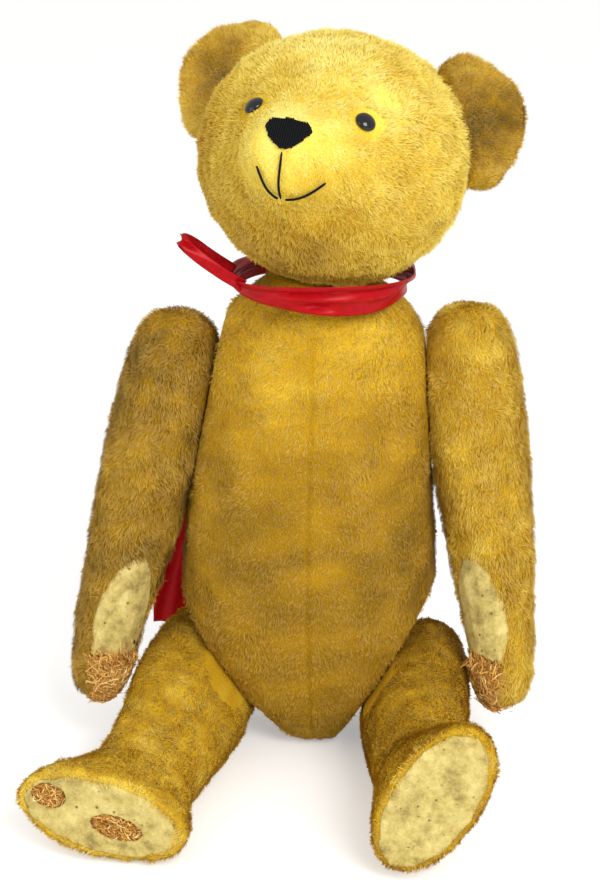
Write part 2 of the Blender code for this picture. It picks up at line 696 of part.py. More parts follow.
ring_points, ring_across = [], []
for i in range(20):
    a = 2 * math.pi * i / 20
    wave = 0.0015 * math.sin(3 * a + 0.5)
    ring_points.append((
        NECK_POINT[0] + RIBBON_RING_X * math.cos(a), NECK_POINT[1] + RIBBON_RING_Y * math.sin(a), RIBBON_Z + wave
    ))
    ring_across.append((0.42 * math.cos(a), 0.42 * math.sin(a), 1.0))
ribbon = strip(
    "neck_ribbon", ring_points, ring_across, RIBBON_WIDE, RIBBON_THICK, True, ((0.60, 0.008, 0.012), 0.35)
)
knot_at = Vector((NECK_POINT[0], NECK_POINT[1] + RIBBON_RING_Y + KNOT * 0.4, RIBBON_Z))
bm = bmesh.new()
bmesh.ops.create_uvsphere(bm, u_segments=10, v_segments=6, radius=KNOT)
bmesh.ops.scale(bm, vec=(1.3, 0.75, 1.0), verts=bm.verts[:])
bmesh.ops.translate(bm, vec=knot_at, verts=bm.verts[:])
boolean(ribbon, place("ribbon_knot", mesh_of(bm, "ribbon_knot")), "UNION")
loop_at = Vector((NECK_POINT[0] - RIBBON_RING_X, NECK_POINT[1], RIBBON_Z))
loop_points = [loop_at + Vector(step) for step in (
    (0.0135, -0.0270, 0.0045), (0.0005, -0.0300, 0.0115), (-0.0125, -0.0320, 0.0215), (-0.0205, -0.0300, 0.0275),
    (-0.0185, -0.0210, 0.0265), (-0.0075, -0.0140, 0.0175), (0.0055, -0.0080, 0.0075),
)]
boolean(ribbon, strip("ribbon_loop", loop_points, (0.25, 0.2, 1), RIBBON_WIDE * 0.55, RIBBON_THICK), "UNION")
tail_right = [knot_at + Vector(step) for step in (
    (-0.002, 0.001, -0.001), (-0.016, 0.009, -0.014), (-0.041, 0.0105, -0.0415), (-0.065, 0.0155, -0.0915),
    (-0.087, 0.0125, -0.1415), (-0.099, 0.0065, -0.1865), (-0.104, 0.0025, -0.2215), (-0.105, 0.0025, -0.2455),
)]
tail_left = [knot_at + Vector(step) for step in (
    (0.002, 0.0015, -0.001), (0.014, 0.010, -0.014), (0.021, 0.0125, -0.0465), (0.031, 0.0205, -0.0965),
    (0.035, 0.0245, -0.1465), (0.033, 0.0255, -0.1915), (0.029, 0.0245, -0.2295),
)]
turn_right = [(0.65, 0.1, -0.75), (0.8, 0.2, -0.5), (0.95, 0.25, -0.1)] + [(1, 0.25, 0.2)] * 5
turn_left = [(0.7, 0.0, 0.7), (0.85, 0.1, 0.5)] + [(1, 0.1, 0.1)] * 5
boolean(ribbon, strip("ribbon_tail_right", tail_right, turn_right, RIBBON_WIDE * 0.9, RIBBON_THICK), "UNION")
boolean(ribbon, strip("ribbon_tail_left", tail_left, turn_left, RIBBON_WIDE * 0.9, RIBBON_THICK), "UNION")
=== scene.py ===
import json
import math

import bmesh
import bpy
import numpy as np
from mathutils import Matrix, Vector
from mathutils.bvhtree import BVHTree

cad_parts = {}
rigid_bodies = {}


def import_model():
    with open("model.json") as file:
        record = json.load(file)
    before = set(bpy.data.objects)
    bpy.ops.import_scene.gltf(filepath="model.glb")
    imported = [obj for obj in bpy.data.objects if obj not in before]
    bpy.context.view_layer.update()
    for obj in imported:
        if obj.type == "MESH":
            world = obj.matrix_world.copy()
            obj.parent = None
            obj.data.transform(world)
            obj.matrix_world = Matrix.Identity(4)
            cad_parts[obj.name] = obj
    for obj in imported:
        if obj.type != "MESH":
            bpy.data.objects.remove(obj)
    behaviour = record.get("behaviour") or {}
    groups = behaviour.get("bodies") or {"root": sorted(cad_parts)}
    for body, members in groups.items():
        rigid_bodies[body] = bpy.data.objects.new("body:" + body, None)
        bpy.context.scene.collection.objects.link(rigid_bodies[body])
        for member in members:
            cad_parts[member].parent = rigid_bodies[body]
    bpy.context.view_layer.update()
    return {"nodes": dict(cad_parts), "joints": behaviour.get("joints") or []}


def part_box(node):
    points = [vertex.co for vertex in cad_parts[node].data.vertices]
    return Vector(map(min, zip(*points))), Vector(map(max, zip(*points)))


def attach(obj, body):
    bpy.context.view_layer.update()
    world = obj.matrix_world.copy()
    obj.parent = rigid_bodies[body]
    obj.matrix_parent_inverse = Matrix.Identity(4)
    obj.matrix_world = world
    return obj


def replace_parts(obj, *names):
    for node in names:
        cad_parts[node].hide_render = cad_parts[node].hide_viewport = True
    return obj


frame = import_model()
nodes = frame["nodes"]

# Wood-wool body: fine pine shavings packed hard into each cover until it stands by itself.
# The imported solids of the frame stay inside, and show only where the felt has worn through.
SHAVING = (0.50, 0.245, 0.055)
SHAVING_DARK = (0.17, 0.075, 0.016)


def link(tree, *pairs):
    for (start, out), (end, into) in pairs:
        tree.links.new(start.outputs[out], end.inputs[into])


def plain_material(name, colour, roughness):
    made = bpy.data.materials.new(name)
    made.use_nodes = True
    shader = made.node_tree.nodes["Principled BSDF"]
    shader.inputs["Base Color"].default_value = (*colour, 1)
    shader.inputs["Roughness"].default_value = roughness
    return made, made.node_tree, shader


def add(tree, kind, **values):
    node = tree.nodes.new(kind)
    for key, value in values.items():
        if hasattr(node, key):
            setattr(node, key, value)
        else:
            node.inputs[key.replace("_", " ").title() if key.islower() else key].default_value = value
    return node


def ramp(tree, stops):
    node = tree.nodes.new("ShaderNodeValToRGB")
    band = node.color_ramp
    band.elements[0].position, band.elements[1].position = stops[0][0], stops[-1][0]
    band.elements[0].color, band.elements[1].color = (*stops[0][1], 1), (*stops[-1][1], 1)
    for at, colour in stops[1:-1]:
        band.elements.new(at).color = (*colour, 1)
    return node


shaving_material, tree, shader = plain_material("pine_shavings", SHAVING, 0.75)
place = add(tree, "ShaderNodeTexCoord")
grain = add(tree, "ShaderNodeTexNoise", Scale=420.0, Detail=3.0)
knots = add(tree, "ShaderNodeTexVoronoi", Scale=260.0)
tint = ramp(tree, [(0.25, SHAVING_DARK), (0.5, SHAVING), (0.75, (0.72, 0.43, 0.13))])
lift = add(tree, "ShaderNodeBump", Strength=0.9, Distance=0.0015)
link(tree, ((place, "Object"), (grain, "Vector")), ((place, "Object"), (knots, "Vector")),
     ((grain, "Fac"), (tint, "Fac")), ((tint, "Color"), (shader, "Base Color")),
     ((knots, "Distance"), (lift, "Height")), ((lift, "Normal"), (shader, "Normal")))
for name in ("torso", "head", "arm_right", "arm_left", "leg_right", "leg_left"):
    nodes[name + "_stuffing"].data.materials.clear()
    nodes[name + "_stuffing"].data.materials.append(shaving_material)

# Joint discs, washers and cotter pins: two cardboard discs and two steel washers on a bent pin.
# They lie inside the cloth at the neck, shoulders and hips, so only a turned joint lets them show.
card_material, tree, shader = plain_material("pressed_card", (0.33, 0.22, 0.11), 0.9)
place = add(tree, "ShaderNodeTexCoord")
pulp = add(tree, "ShaderNodeTexNoise", Scale=300.0, Detail=4.0)
tint = ramp(tree, [(0.3, (0.26, 0.17, 0.085)), (0.7, (0.40, 0.28, 0.15))])
lift = add(tree, "ShaderNodeBump", Strength=0.3, Distance=0.0004)
link(tree, ((place, "Object"), (pulp, "Vector")), ((pulp, "Fac"), (tint, "Fac")),
     ((tint, "Color"), (shader, "Base Color")), ((pulp, "Fac"), (lift, "Height")),
     ((lift, "Normal"), (shader, "Normal")))
steel_material, tree, shader = plain_material("dull_steel", (0.36, 0.34, 0.31), 0.45)
shader.inputs["Metallic"].default_value = 1.0
place = add(tree, "ShaderNodeTexCoord")
tarnish = add(tree, "ShaderNodeTexNoise", Scale=180.0, Detail=5.0)
tint = ramp(tree, [(0.35, (0.22, 0.14, 0.08)), (0.6, (0.40, 0.38, 0.35))])
dull = add(tree, "ShaderNodeMapRange")
dull.inputs["To Min"].default_value, dull.inputs["To Max"].default_value = 0.65, 0.35
link(tree, ((place, "Object"), (tarnish, "Vector")), ((tarnish, "Fac"), (tint, "Fac")),
     ((tint, "Color"), (shader, "Base Color")), ((tarnish, "Fac"), (dull, "Value")),
     ((dull, "Result"), (shader, "Roughness")))
for joint in ("neck", "shoulder_right", "shoulder_left", "hip_right", "hip_left"):
    for part, looks in (("disc", card_material), ("washer", steel_material)):
        for side in ("outer", "inner"):
            data = nodes[f"{joint}_{part}_{side}"].data
            data.materials.clear()
            data.materials.append(looks)
    nodes[joint + "_pin"].data.materials.clear()
    nodes[joint + "_pin"].data.materials.append(steel_material)

# Torso cover: two panels of gold mohair plush sewn down the middle of the chest, worn to a velvet.
# The stuffed form is one skin, and its pile is a coat of short tapered hairs combed down to the seat.
GOLD = [
    (0.00, (0.09, 0.045, 0.003)), (0.22, (0.24, 0.130, 0.005)), (0.42, (0.43, 0.230, 0.006)),
    (0.58, (0.60, 0.350, 0.012)), (0.74, (0.78, 0.540, 0.045)), (0.88, (0.95, 0.75, 0.120)),
    (1.00, (1.00, 0.93, 0.30)),
]
TORSO_HAIRS = 96000
CLOTH_OVER_FILLING = 0.0022


def ripple(points, size, seed, waves=9):
    """Smooth noise from -1 to 1, with features about this size in metres."""
    dice = np.random.default_rng(seed)
    total = np.zeros(len(points))
    for _ in range(waves):
        run = dice.normal(size=3)
        run *= 2 * math.pi / (size * dice.uniform(0.7, 1.8)) / np.linalg.norm(run)
        total += np.sin(points @ run + dice.uniform(0, 6.283))
    return np.clip(total / math.sqrt(waves) / 1.2, -1, 1)


def unit(vectors):
    return vectors / np.maximum(np.linalg.norm(vectors, axis=1, keepdims=True), 1e-9)


def blob(points, middle, radius):
    """1 at a place, falling to 0 at about this radius."""
    return np.exp(-((points - np.array(middle)) ** 2).sum(1) / (radius * radius))


def surface_tree(mesh):
    points = [v.co.copy() for v in mesh.vertices]
    return BVHTree.FromPolygons(points, [tuple(face.vertices) for face in mesh.polygons])


def placed(name, mesh):
    """A new object in the scene that shows this mesh, and the only one selected."""
    made = bpy.data.objects.new(name, mesh)
    bpy.context.scene.collection.objects.link(made)
    bpy.ops.object.select_all(action="DESELECT")
    made.select_set(True)
    bpy.context.view_layer.objects.active = made
    return made


def put_points(mesh, co):
    mesh.vertices.foreach_set("co", co.astype(np.float32).ravel())
    mesh.update()


def arrays_of(mesh):
    """The mesh's points, their normals and its triangles."""
    mesh.calc_loop_triangles()
    co = np.empty(len(mesh.vertices) * 3, np.float32)
    mesh.vertices.foreach_get("co", co)
    normals = np.empty(len(mesh.vertices) * 3, np.float32)
    mesh.vertices.foreach_get("normal", normals)
    tris = np.empty(len(mesh.loop_triangles) * 3, np.int32)
    mesh.loop_triangles.foreach_get("vertices", tris)
    return co.reshape(-1, 3).astype(float), normals.reshape(-1, 3).astype(float), tris.reshape(-1, 3)


def off_plane(co, joint):
    """How far each point lies from the flat face of a joint."""
    return np.abs((co - np.array(joint["pos_m"])) @ np.array(joint["axis"]))


def firmness(co, joints):
    """1 where the cloth may be rounded, falling to 0 on the flat faces of the joints."""
    firm = np.full(len(co), 1.0)
    for joint in joints:
        near = np.linalg.norm(co - np.array(joint["pos_m"]), axis=1) < 0.06
        firm *= np.where(near, np.clip(off_plane(co, joint) / 0.010 - 0.1, 0, 1), 1)
    return firm


def round_off(mesh, co, firm, passes):
    """Draws each point toward the middle of its neighbours, this many times."""
    edges = np.empty(len(mesh.edges) * 2, np.int32)
    mesh.edges.foreach_get("vertices", edges)
    first, second = edges.reshape(-1, 2).T
    degree = np.bincount(edges, minlength=len(co))[:, None]
    for _ in range(passes):
        total = np.zeros_like(co)
        for k in range(3):
            total[:, k] = np.bincount(first, co[second, k], len(co))
            total[:, k] += np.bincount(second, co[first, k], len(co))
        co += (total / degree - co) * 0.6 * firm[:, None]


def lift_off(filling, co, firm):
    """Keeps the rounded cloth outside the filling."""
    packed = surface_tree(filling)
    for index, at in enumerate(co):
        hit, normal, _, _ = packed.find_nearest(Vector(at))
        apart = (Vector(at) - hit).dot(normal)
        if apart < CLOTH_OVER_FILLING:
            co[index] += np.array(normal) * (CLOTH_OVER_FILLING - apart) * firm[index]


def stuffed_skin(name, inside, cover, body, voxel, lumps, seed, rounding=0):
    """One closed skin over a stuffed piece, from its cover with the filling and discs that fill it."""
    layers = [placed(name, nodes[node].data.copy()) for node in (cover, *inside)]
    if inside:
        for layer in layers:
            layer.select_set(True)
        bpy.ops.object.join()
    skin = bpy.context.object
    skin.name = name
    skin.data.materials.clear()
    weld = skin.modifiers.new("weld", "WELD")
    weld.merge_threshold = 0.00001
    grid = skin.modifiers.new("grid", "REMESH")
    grid.mode, grid.voxel_size = "VOXEL", voxel
    ease = skin.modifiers.new("ease", "SMOOTH")
    ease.factor, ease.iterations = 0.5, 8
    for modifier in ("weld", "grid", "ease"):
        bpy.ops.object.modifier_apply(modifier=modifier)
    mesh = skin.data
    co, normals, _ = arrays_of(mesh)
    joints = [joint for joint in frame["joints"] if body in (joint["parent"], joint["child"])]
    if rounding:
        firm = firmness(co, joints)
        round_off(mesh, co, firm, rounding)
        lift_off(nodes[inside[0]].data, co, firm)
    push = lumps * (0.6 * ripple(co, 0.045, seed) + 0.4 * ripple(co, 0.018, seed + 1))
    free = np.clip(co[:, 2] / 0.006, 0, 1)
    for joint in joints:
        free *= np.clip(off_plane(co, joint) / 0.006, 0, 1)
    put_points(mesh, co + normals * (push * free)[:, None])
    mesh.shade_smooth()
    return skin


def strip_filling(skin, body):
    """Opens the skin where it lies on the filling, so that the pad or the bare shavings show there."""
    cloth, filling = (surface_tree(nodes[body + layer].data) for layer in ("_cover", "_stuffing"))
    bm = bmesh.new()
    bm.from_mesh(skin.data)
    gone = []
    for face in bm.faces:
        middle = face.calc_center_median()
        if filling.find_nearest(middle)[3] + 0.0004 < cloth.find_nearest(middle)[3]:
            gone.append(face)
    bmesh.ops.delete(bm, geom=gone, context="FACES")
    loose = [v for v in bm.verts if not v.link_faces]
    bmesh.ops.delete(bm, geom=loose, context="VERTS")
    bm.to_mesh(skin.data)
    bm.free()
    skin.data.shade_smooth()


def cloth_material(name):
    """Woven backing with the roots of its pile: the tone attribute picks the gold."""
    made, tree, shader = plain_material(name, GOLD[2][1], 0.95)
    shader.inputs["Specular IOR Level"].default_value = 0.1
    tone = add(tree, "ShaderNodeAttribute", attribute_name="tone")
    place = add(tree, "ShaderNodeTexCoord")
    fine = add(tree, "ShaderNodeTexNoise", Scale=900.0, Detail=2.0)
    mix = add(tree, "ShaderNodeMath", operation="MULTIPLY_ADD")
    mix.inputs[1].default_value = 0.30
    gold = ramp(tree, GOLD)
    lift = add(tree, "ShaderNodeBump", Strength=0.8, Distance=0.0010)
    link(tree, ((place, "Object"), (fine, "Vector")), ((fine, "Fac"), (mix, 0)), ((tone, "Fac"), (mix, 2)),
         ((mix, "Value"), (gold, "Fac")), ((gold, "Color"), (shader, "Base Color")),
         ((fine, "Fac"), (lift, "Height")), ((lift, "Normal"), (shader, "Normal")))
    return made


def pile_material(name):
    """Hairs: the map's first number is the tone of the whole hair, the second runs from root to tip."""
    made, tree, shader = plain_material(name, GOLD[3][1], 0.62)
    shader.inputs["Specular IOR Level"].default_value = 0.12
    spot = add(tree, "ShaderNodeUVMap", uv_map="OFBake")
    split = add(tree, "ShaderNodeSeparateXYZ")
    gold = ramp(tree, GOLD)
    # Hairs darken toward the root: painted shade deep in the pile.
    rise = ramp(tree, [(0.0, (0.42, 0.38, 0.30)), (0.45, (0.86, 0.84, 0.80)), (1.0, (1.0, 1.0, 1.0))])
    shade = add(tree, "ShaderNodeMix", data_type="RGBA", blend_type="MULTIPLY")
    shade.inputs["Factor"].default_value = 1.0
    link(tree, ((spot, "UV"), (split, "Vector")), ((split, "X"), (gold, "Fac")),
         ((split, "Y"), (rise, "Fac")))
    tree.links.new(gold.outputs["Color"], shade.inputs[6])
    tree.links.new(rise.outputs["Color"], shade.inputs[7])
    # Tips pale toward straw: a painted highlight on the hair tips.
    tip_highlight = ramp(tree, [(0.35, (0.0, 0.0, 0.0)), (1.0, (0.24, 0.24, 0.24))])
    highlighted_tips = add(tree, "ShaderNodeMix", data_type="RGBA")
    highlighted_tips.inputs[7].default_value = (0.95, 0.80, 0.42, 1)
    link(tree, ((split, "Y"), (tip_highlight, "Fac")), ((tip_highlight, "Color"), (highlighted_tips, "Factor")))
    tree.links.new(shade.outputs[2], highlighted_tips.inputs[6])
    tree.links.new(highlighted_tips.outputs[2], shader.inputs["Base Color"])
    return made


def dye(skin, tone):
    """Writes the tone of each point of the cloth, a little darker than the hairs on it: painted shade under the
    pile.
    """
    co, _, _ = arrays_of(skin.data)
    layer = skin.data.attributes.new("tone", "FLOAT", "POINT")
    layer.data.foreach_set("value", (tone(co) - 0.26).astype(np.float32))


def grow_pile(name, skin, count, comb, length, tone, keep, width=0.00042, rise=0.5, seed=3):
    """A coat of tapered hairs on a skin. Each is two bent segments that end in a point."""
    dice = np.random.default_rng(seed)
    co, normals, tris = arrays_of(skin.data)
    a, b, c = (co[tris[:, i]] for i in range(3))
    area = np.linalg.norm(np.cross(b - a, c - a), axis=1)
    pick = dice.choice(len(tris), size=count, p=area / area.sum())
    u, v = dice.random(count), dice.random(count)
    flip = u + v > 1
    u[flip], v[flip] = 1 - u[flip], 1 - v[flip]
    w = (1 - u - v)[:, None]
    u, v = u[:, None], v[:, None]
    root = a[pick] * w + b[pick] * u + c[pick] * v
    n = unit(normals[tris[pick, 0]] * w + normals[tris[pick, 1]] * u + normals[tris[pick, 2]] * v)
    chance = keep(root, n)
    stay = dice.random(count) < chance
    root, n = root[stay], n[stay]
    count = len(root)
    run = comb(root, n)
    swirl = np.stack([ripple(root, 0.020, seed + 11 + i) for i in range(3)], 1) * 0.55
    swirl += dice.normal(size=(count, 3)) * 0.30
    run = unit(run) + swirl
    run = unit(run - n * (run * n).sum(1, keepdims=True))
    tuft = 0.85 + 0.25 * ripple(root, 0.006, seed + 21) + dice.normal(size=count) * 0.14
    long = (length(root, n) * np.clip(tuft, 0.45, 1.5))[:, None]
    up = rise + 0.18 * ripple(root, 0.012, seed + 31) + dice.normal(size=count) * 0.12
    up = np.clip(up, 0.12, 0.95)[:, None]
    side = np.cross(run, n)
    bend = dice.normal(size=count)[:, None] * 0.16
    low = root - n * 0.0004
    mid = root + long * 0.5 * (n * up * 1.15 + run * (1 - up * 0.6) + side * bend * 0.4)
    tip = root + long * (n * up * 0.75 + run * (1.12 - up * 0.5) + side * bend)
    tip[:, 2] = np.maximum(tip[:, 2], 0.0003)
    mid[:, 2] = np.maximum(mid[:, 2], 0.0003)
    half = (width * (0.8 + 0.4 * dice.random(count)) / 2)[:, None]
    points = np.stack([
        low - side * half, low + side * half, mid + side * half * 0.75, mid - side * half * 0.75, tip,
    ], 1)
    order = np.array([[0, 1, 2], [0, 2, 3], [3, 2, 4]])
    corners = (np.arange(count)[:, None, None] * 5 + order).reshape(-1)
    mesh = bpy.data.meshes.new(name)
    mesh.vertices.add(count * 5)
    mesh.vertices.foreach_set("co", points.astype(np.float32).ravel())
    mesh.loops.add(count * 9)
    mesh.loops.foreach_set("vertex_index", corners.astype(np.int32))
    mesh.polygons.add(count * 3)
    mesh.polygons.foreach_set("loop_start", np.arange(0, count * 9, 3, dtype=np.int32))
    mesh.polygons.foreach_set("loop_total", np.full(count * 3, 3, dtype=np.int32))
    mesh.update(calc_edges=True)
    hue = tone(root) + 0.05 * ripple(root, 0.004, seed + 41) + dice.normal(size=count) * 0.045
    hue = np.clip(hue, 0.01, 0.99)
    along = np.array([0.02, 0.02, 0.5, 0.5, 0.98])
    uv = np.empty((count, 9, 2), np.float32)
    uv[:, :, 0] = hue[:, None]
    uv[:, :, 1] = along[order.reshape(-1)][None, :]
    mesh.uv_layers.new(name="OFBake").data.foreach_set("uv", uv.ravel())
    mesh.shade_smooth()
    mesh.materials.append(pile)
    return placed(name, mesh)


def off_joints(points, body):
    """1 where hair may grow, 0 on the flat face where two pieces are drawn together."""
    free = np.ones(len(points))
    for joint in frame["joints"]:
        if body in (joint["parent"], joint["child"]):
            near = np.linalg.norm(points - np.array(joint["pos_m"]), axis=1) < 0.060
            free *= np.where(near & (off_plane(points, joint) < 0.0016), 0.0, 1.0)
    return free


cloth = cloth_material("mohair_cloth")
pile = pile_material("mohair_pile")


def torso_tone(p):
    # Paler toward the top of the chest: painted light, lifting the chest out of the head's shadow.
    base = 0.455 + 0.12 * np.clip((p[:, 2] - 0.20) / 0.06, 0, 1)
    base += 0.05 * ripple(p * np.array([1, 1, 0.6]), 0.050, 5) + 0.055 * ripple(p, 0.018, 6)
    base += 0.02 * ripple(p * np.array([0.25, 0.25, 1.6]), 0.012, 7)
    # The two pale blobs high on the chest are painted sheen; the other blobs give paler and darker patches lower
    # down.
    base += 0.10 * blob(p, (-0.028, -0.06, 0.225), 0.040) + 0.10 * blob(p, (0.045, -0.05, 0.245), 0.040)
    base += 0.07 * blob(p, (0.0, -0.07, 0.075), 0.035) - 0.09 * blob(p, (-0.03, -0.06, 0.125), 0.040)
    base -= 0.07 * blob(p, (0.045, -0.05, 0.130), 0.035) - 0.05 * blob(p, (0.03, -0.065, 0.170), 0.030)
    seam = np.exp(-((p[:, 0] - 0.001) / 0.0011) ** 2) * (p[:, 1] < 0)
    return base - 0.09 * seam


def torso_keep(p, n):
    seam = 1 - 0.9 * np.exp(-((p[:, 0] - 0.001) / 0.0009) ** 2)
    return off_joints(p, "torso") * seam * np.where(p[:, 2] < 0.0015, 0.0, 1.0)


torso_inside = ["torso_stuffing"] + [
    f"{joint}_{part}" for joint in ("neck", "shoulder_right", "shoulder_left", "hip_right", "hip_left")
    for part in ("disc_inner", "washer_inner", "pin")
]
torso = stuffed_skin("torso_skin", torso_inside, "torso_cover", "torso", 0.0028, 0.0010, 100, 70)
co, _, _ = arrays_of(torso.data)
broad = 0.0065 * np.sign(co[:, 0]) * np.exp(-((co[:, 2] - 0.250) / 0.020) ** 2 - (co[:, 1] / 0.050) ** 2)
broad *= np.clip((np.abs(co[:, 0]) - 0.015) / 0.030, 0, 1)
for joint in frame["joints"]:
    if "shoulder" in joint["name"]:
        broad *= np.clip(off_plane(co, joint) / 0.008 - 0.1, 0, 1)
co[:, 0] += broad
put_points(torso.data, co)
dye(torso, torso_tone)
torso.data.materials.append(cloth)
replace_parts(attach(torso, "torso"), "torso_cover")


def torso_comb(p, n):
    outward = 0.25 * np.sign(p[:, 0]) * (p[:, 1] < 0)
    return np.stack([outward, np.zeros(len(p)), -np.ones(len(p))], 1)


def torso_length(p, n):
    return 0.0040 + 0.0010 * ripple(p, 0.03, 8) - 0.0010 * blob(p, (0, -0.07, 0.15), 0.06)


for part, low, high in (("lower", -1.0, 0.145), ("upper", 0.145, 1.0)):
    def torso_part(p, n, low=low, high=high):
        return torso_keep(p, n) * (p[:, 2] >= low) * (p[:, 2] < high)

    coat = grow_pile(
        "torso_pile_" + part, torso, TORSO_HAIRS, torso_comb, torso_length, torso_tone, torso_part,
        0.00040, 0.38, 200,
    )
    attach(coat, "torso")

# Head cover: cheeks, back and a middle gusset of the same plush, drawn out to a short muzzle.
# The pile stands longest on the crown and cheeks, and is clipped close round the nose and mouth.
HEAD_HAIRS = 90000
EYE_CLEARING = 0.0104
LEAN, TURN, PITCH = math.radians(5.5), math.radians(13), math.radians(18)
NECK = Vector((0.0050, -0.003, 0.291))
up = Vector((math.sin(LEAN), 0, math.cos(LEAN)))
ahead = Vector((-math.sin(TURN), -math.cos(TURN), 0))
ahead = (ahead - up * ahead.dot(up)).normalized()
sideways = up.cross(ahead)
AHEAD = ahead * math.cos(PITCH) + up * math.sin(PITCH)
UP = -ahead * math.sin(PITCH) + up * math.cos(PITCH)
MIDDLE = NECK + ahead * 0.004 + up * 0.070
MUZZLE = np.array(MIDDLE + AHEAD * 0.098 - UP * 0.012)
SIDE = np.array(sideways)


def face_at(side, height, reach):
    return np.array(MIDDLE + sideways * side + UP * height + AHEAD * reach)


WORN_BROW = face_at(0.036, 0.028, 0.050)
CHIN = face_at(0, -0.060, 0.035)


def head_tone(p):
    far = np.linalg.norm(p - MUZZLE, axis=1)
    base = 0.84 + 0.05 * ripple(p, 0.040, 15) + 0.045 * ripple(p, 0.014, 16)
    # Paler on top of the muzzle and on the forehead: painted light on the upward faces.
    base += 0.12 * blob(p, MUZZLE + 0.022 * np.array(UP), 0.030)
    base += 0.10 * blob(p, face_at(0, 0.06, 0.03), 0.045)
    base += 0.04 * np.exp(-(far / 0.035) ** 2)
    # Darker under the chin and on the right cheek: painted shadow under the muzzle and painted shade on the
    # cheek turned from the key lamp.
    base -= 0.34 * blob(p, CHIN, 0.048) + 0.26 * blob(p, face_at(-0.065, -0.005, 0.03), 0.035)
    return base + 0.10 * blob(p, WORN_BROW, 0.012)


def muzzle_clip(p):
    return np.exp(-(np.linalg.norm(p - MUZZLE, axis=1) / 0.046) ** 4)


def head_comb(p, n):
    away = unit(p - MUZZLE)
    away[:, 2] -= 0.25
    return away


def head_keep(p, n):
    """No hair on the eyes and the nose, and thin hair on the chin seam and the worn brow."""
    from_middle = p - np.array(MIDDLE)
    kept = 1 - 0.75 * np.exp(-((from_middle @ SIDE) / 0.0009) ** 2) * (from_middle @ np.array(UP) < -0.02)
    for side in ("right", "left"):
        low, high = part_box("eye_" + side)
        kept = kept * (np.linalg.norm(p - np.array((low + high) / 2), axis=1) > EYE_CLEARING)
    low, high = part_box("nose_stitching")
    from_nose = p - np.array((low + high) / 2)
    on_nose = (np.abs(from_nose @ SIDE) < 0.0135) & (np.abs(from_nose @ np.array(UP)) < 0.0065)
    kept = kept * ~(on_nose & (np.linalg.norm(from_nose, axis=1) < 0.02))
    brow = np.exp(-(((p - WORN_BROW) ** 2).sum(1) / 0.009**2) ** 2)
    return off_joints(p, "head") * kept * (1 - 0.8 * brow)


head_inside = ["head_stuffing", "neck_disc_outer", "neck_washer_outer", "neck_pin"]
head = stuffed_skin("head_skin", head_inside, "head_cover", "head", 0.0028, 0.0008, 120)
dye(head, head_tone)
head.data.materials.append(cloth)
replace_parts(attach(head, "head"), "head_cover")


def head_length(p, n):
    return 0.0052 - 0.0034 * muzzle_clip(p) + 0.0010 * ripple(p, 0.03, 18)


for part, way in (("front", 1), ("back", -1)):
    def head_part(p, n, way=way):
        return head_keep(p, n) * ((p - np.array(MIDDLE)) @ np.array(AHEAD) * way > 0)

    coat = grow_pile(
        "head_pile_" + part, head, HEAD_HAIRS, head_comb, head_length, head_tone, head_part,
        0.00038, 0.50, 220,
    )
    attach(coat, "head")

# Arms: a curved sleeve of plush each, with a felt pad let into the front of the paw.
# The pile is thicker here than on the chest, and lies down the arm to the wrist.
LIMB_HAIRS = 44000
ARM_RUN = {"right": (-0.189, -0.139, -0.972), "left": (0.067, -0.139, -0.988)}
# The right arm's deeper gold is partly its own colour and partly painted shade on the side turned from the key
# lamp; the left arm's paler gold is partly painted light.
ARM_TONE = {"right": 0.41, "left": 0.63}
for side, seed in (("right", 300), ("left", 340)):
    body = "arm_" + side
    inside = [body + "_stuffing"] + [f"shoulder_{side}_{part}" for part in ("disc_outer", "washer_outer", "pin")]
    arm = stuffed_skin(body + "_skin", inside, body + "_cover", body, 0.0026, 0.0009, seed)
    strip_filling(arm, body)

    def arm_tone(p, base=ARM_TONE[side], seed=seed):
        patches = 0.07 * ripple(p, 0.035, seed) + 0.06 * ripple(p, 0.012, seed + 1)
        return base + patches + 0.06 * (p[:, 2] > 0.25)

    dye(arm, arm_tone)
    arm.data.materials.append(cloth)
    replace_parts(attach(arm, body), body + "_cover")
    coat = grow_pile(
        body + "_pile", arm, LIMB_HAIRS,
        lambda p, n, run=ARM_RUN[side]: np.tile(np.array(run), (len(p), 1)),
        lambda p, n, seed=seed: 0.0052 + 0.0011 * ripple(p, 0.02, seed + 4),
        arm_tone, lambda p, n, body=body: off_joints(p, body), 0.00044, 0.50, seed + 5,
    )
    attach(coat, body)

# Legs: plush tubes that widen at the thigh and turn up into a long foot with an open sole.
# Wear has left the shins paler than the thighs.
LEG_TONE = {"right": 0.68, "left": 0.58}
LEG_RUN = {"right": (-0.12, -0.98, 0.15), "left": (0.02, -0.98, 0.20)}
for side, seed in (("right", 400), ("left", 440)):
    body = "leg_" + side
    inside = [body + "_stuffing"] + [f"hip_{side}_{part}" for part in ("disc_outer", "washer_outer", "pin")]
    leg = stuffed_skin(body + "_skin", inside, body + "_cover", body, 0.0026, 0.0008, seed)
    strip_filling(leg, body)

    def leg_tone(p, base=LEG_TONE[side], seed=seed):
        shin = np.clip((-0.03 - p[:, 1]) / 0.10, 0, 1) * 0.05
        return base + shin + 0.07 * ripple(p, 0.035, seed) + 0.05 * ripple(p, 0.012, seed + 1)

    dye(leg, leg_tone)
    leg.data.materials.append(cloth)
    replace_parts(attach(leg, body), body + "_cover")
    coat = grow_pile(
        body + "_pile", leg, LIMB_HAIRS,
        lambda p, n, run=LEG_RUN[side]: np.tile(np.array(run), (len(p), 1)),
        lambda p, n, seed=seed: 0.0046 + 0.0010 * ripple(p, 0.02, seed + 4),
        leg_tone, lambda p, n, body=body: off_joints(p, body) * (p[:, 2] > 0.002), 0.00044, 0.42, seed + 5,
    )
    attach(coat, body)
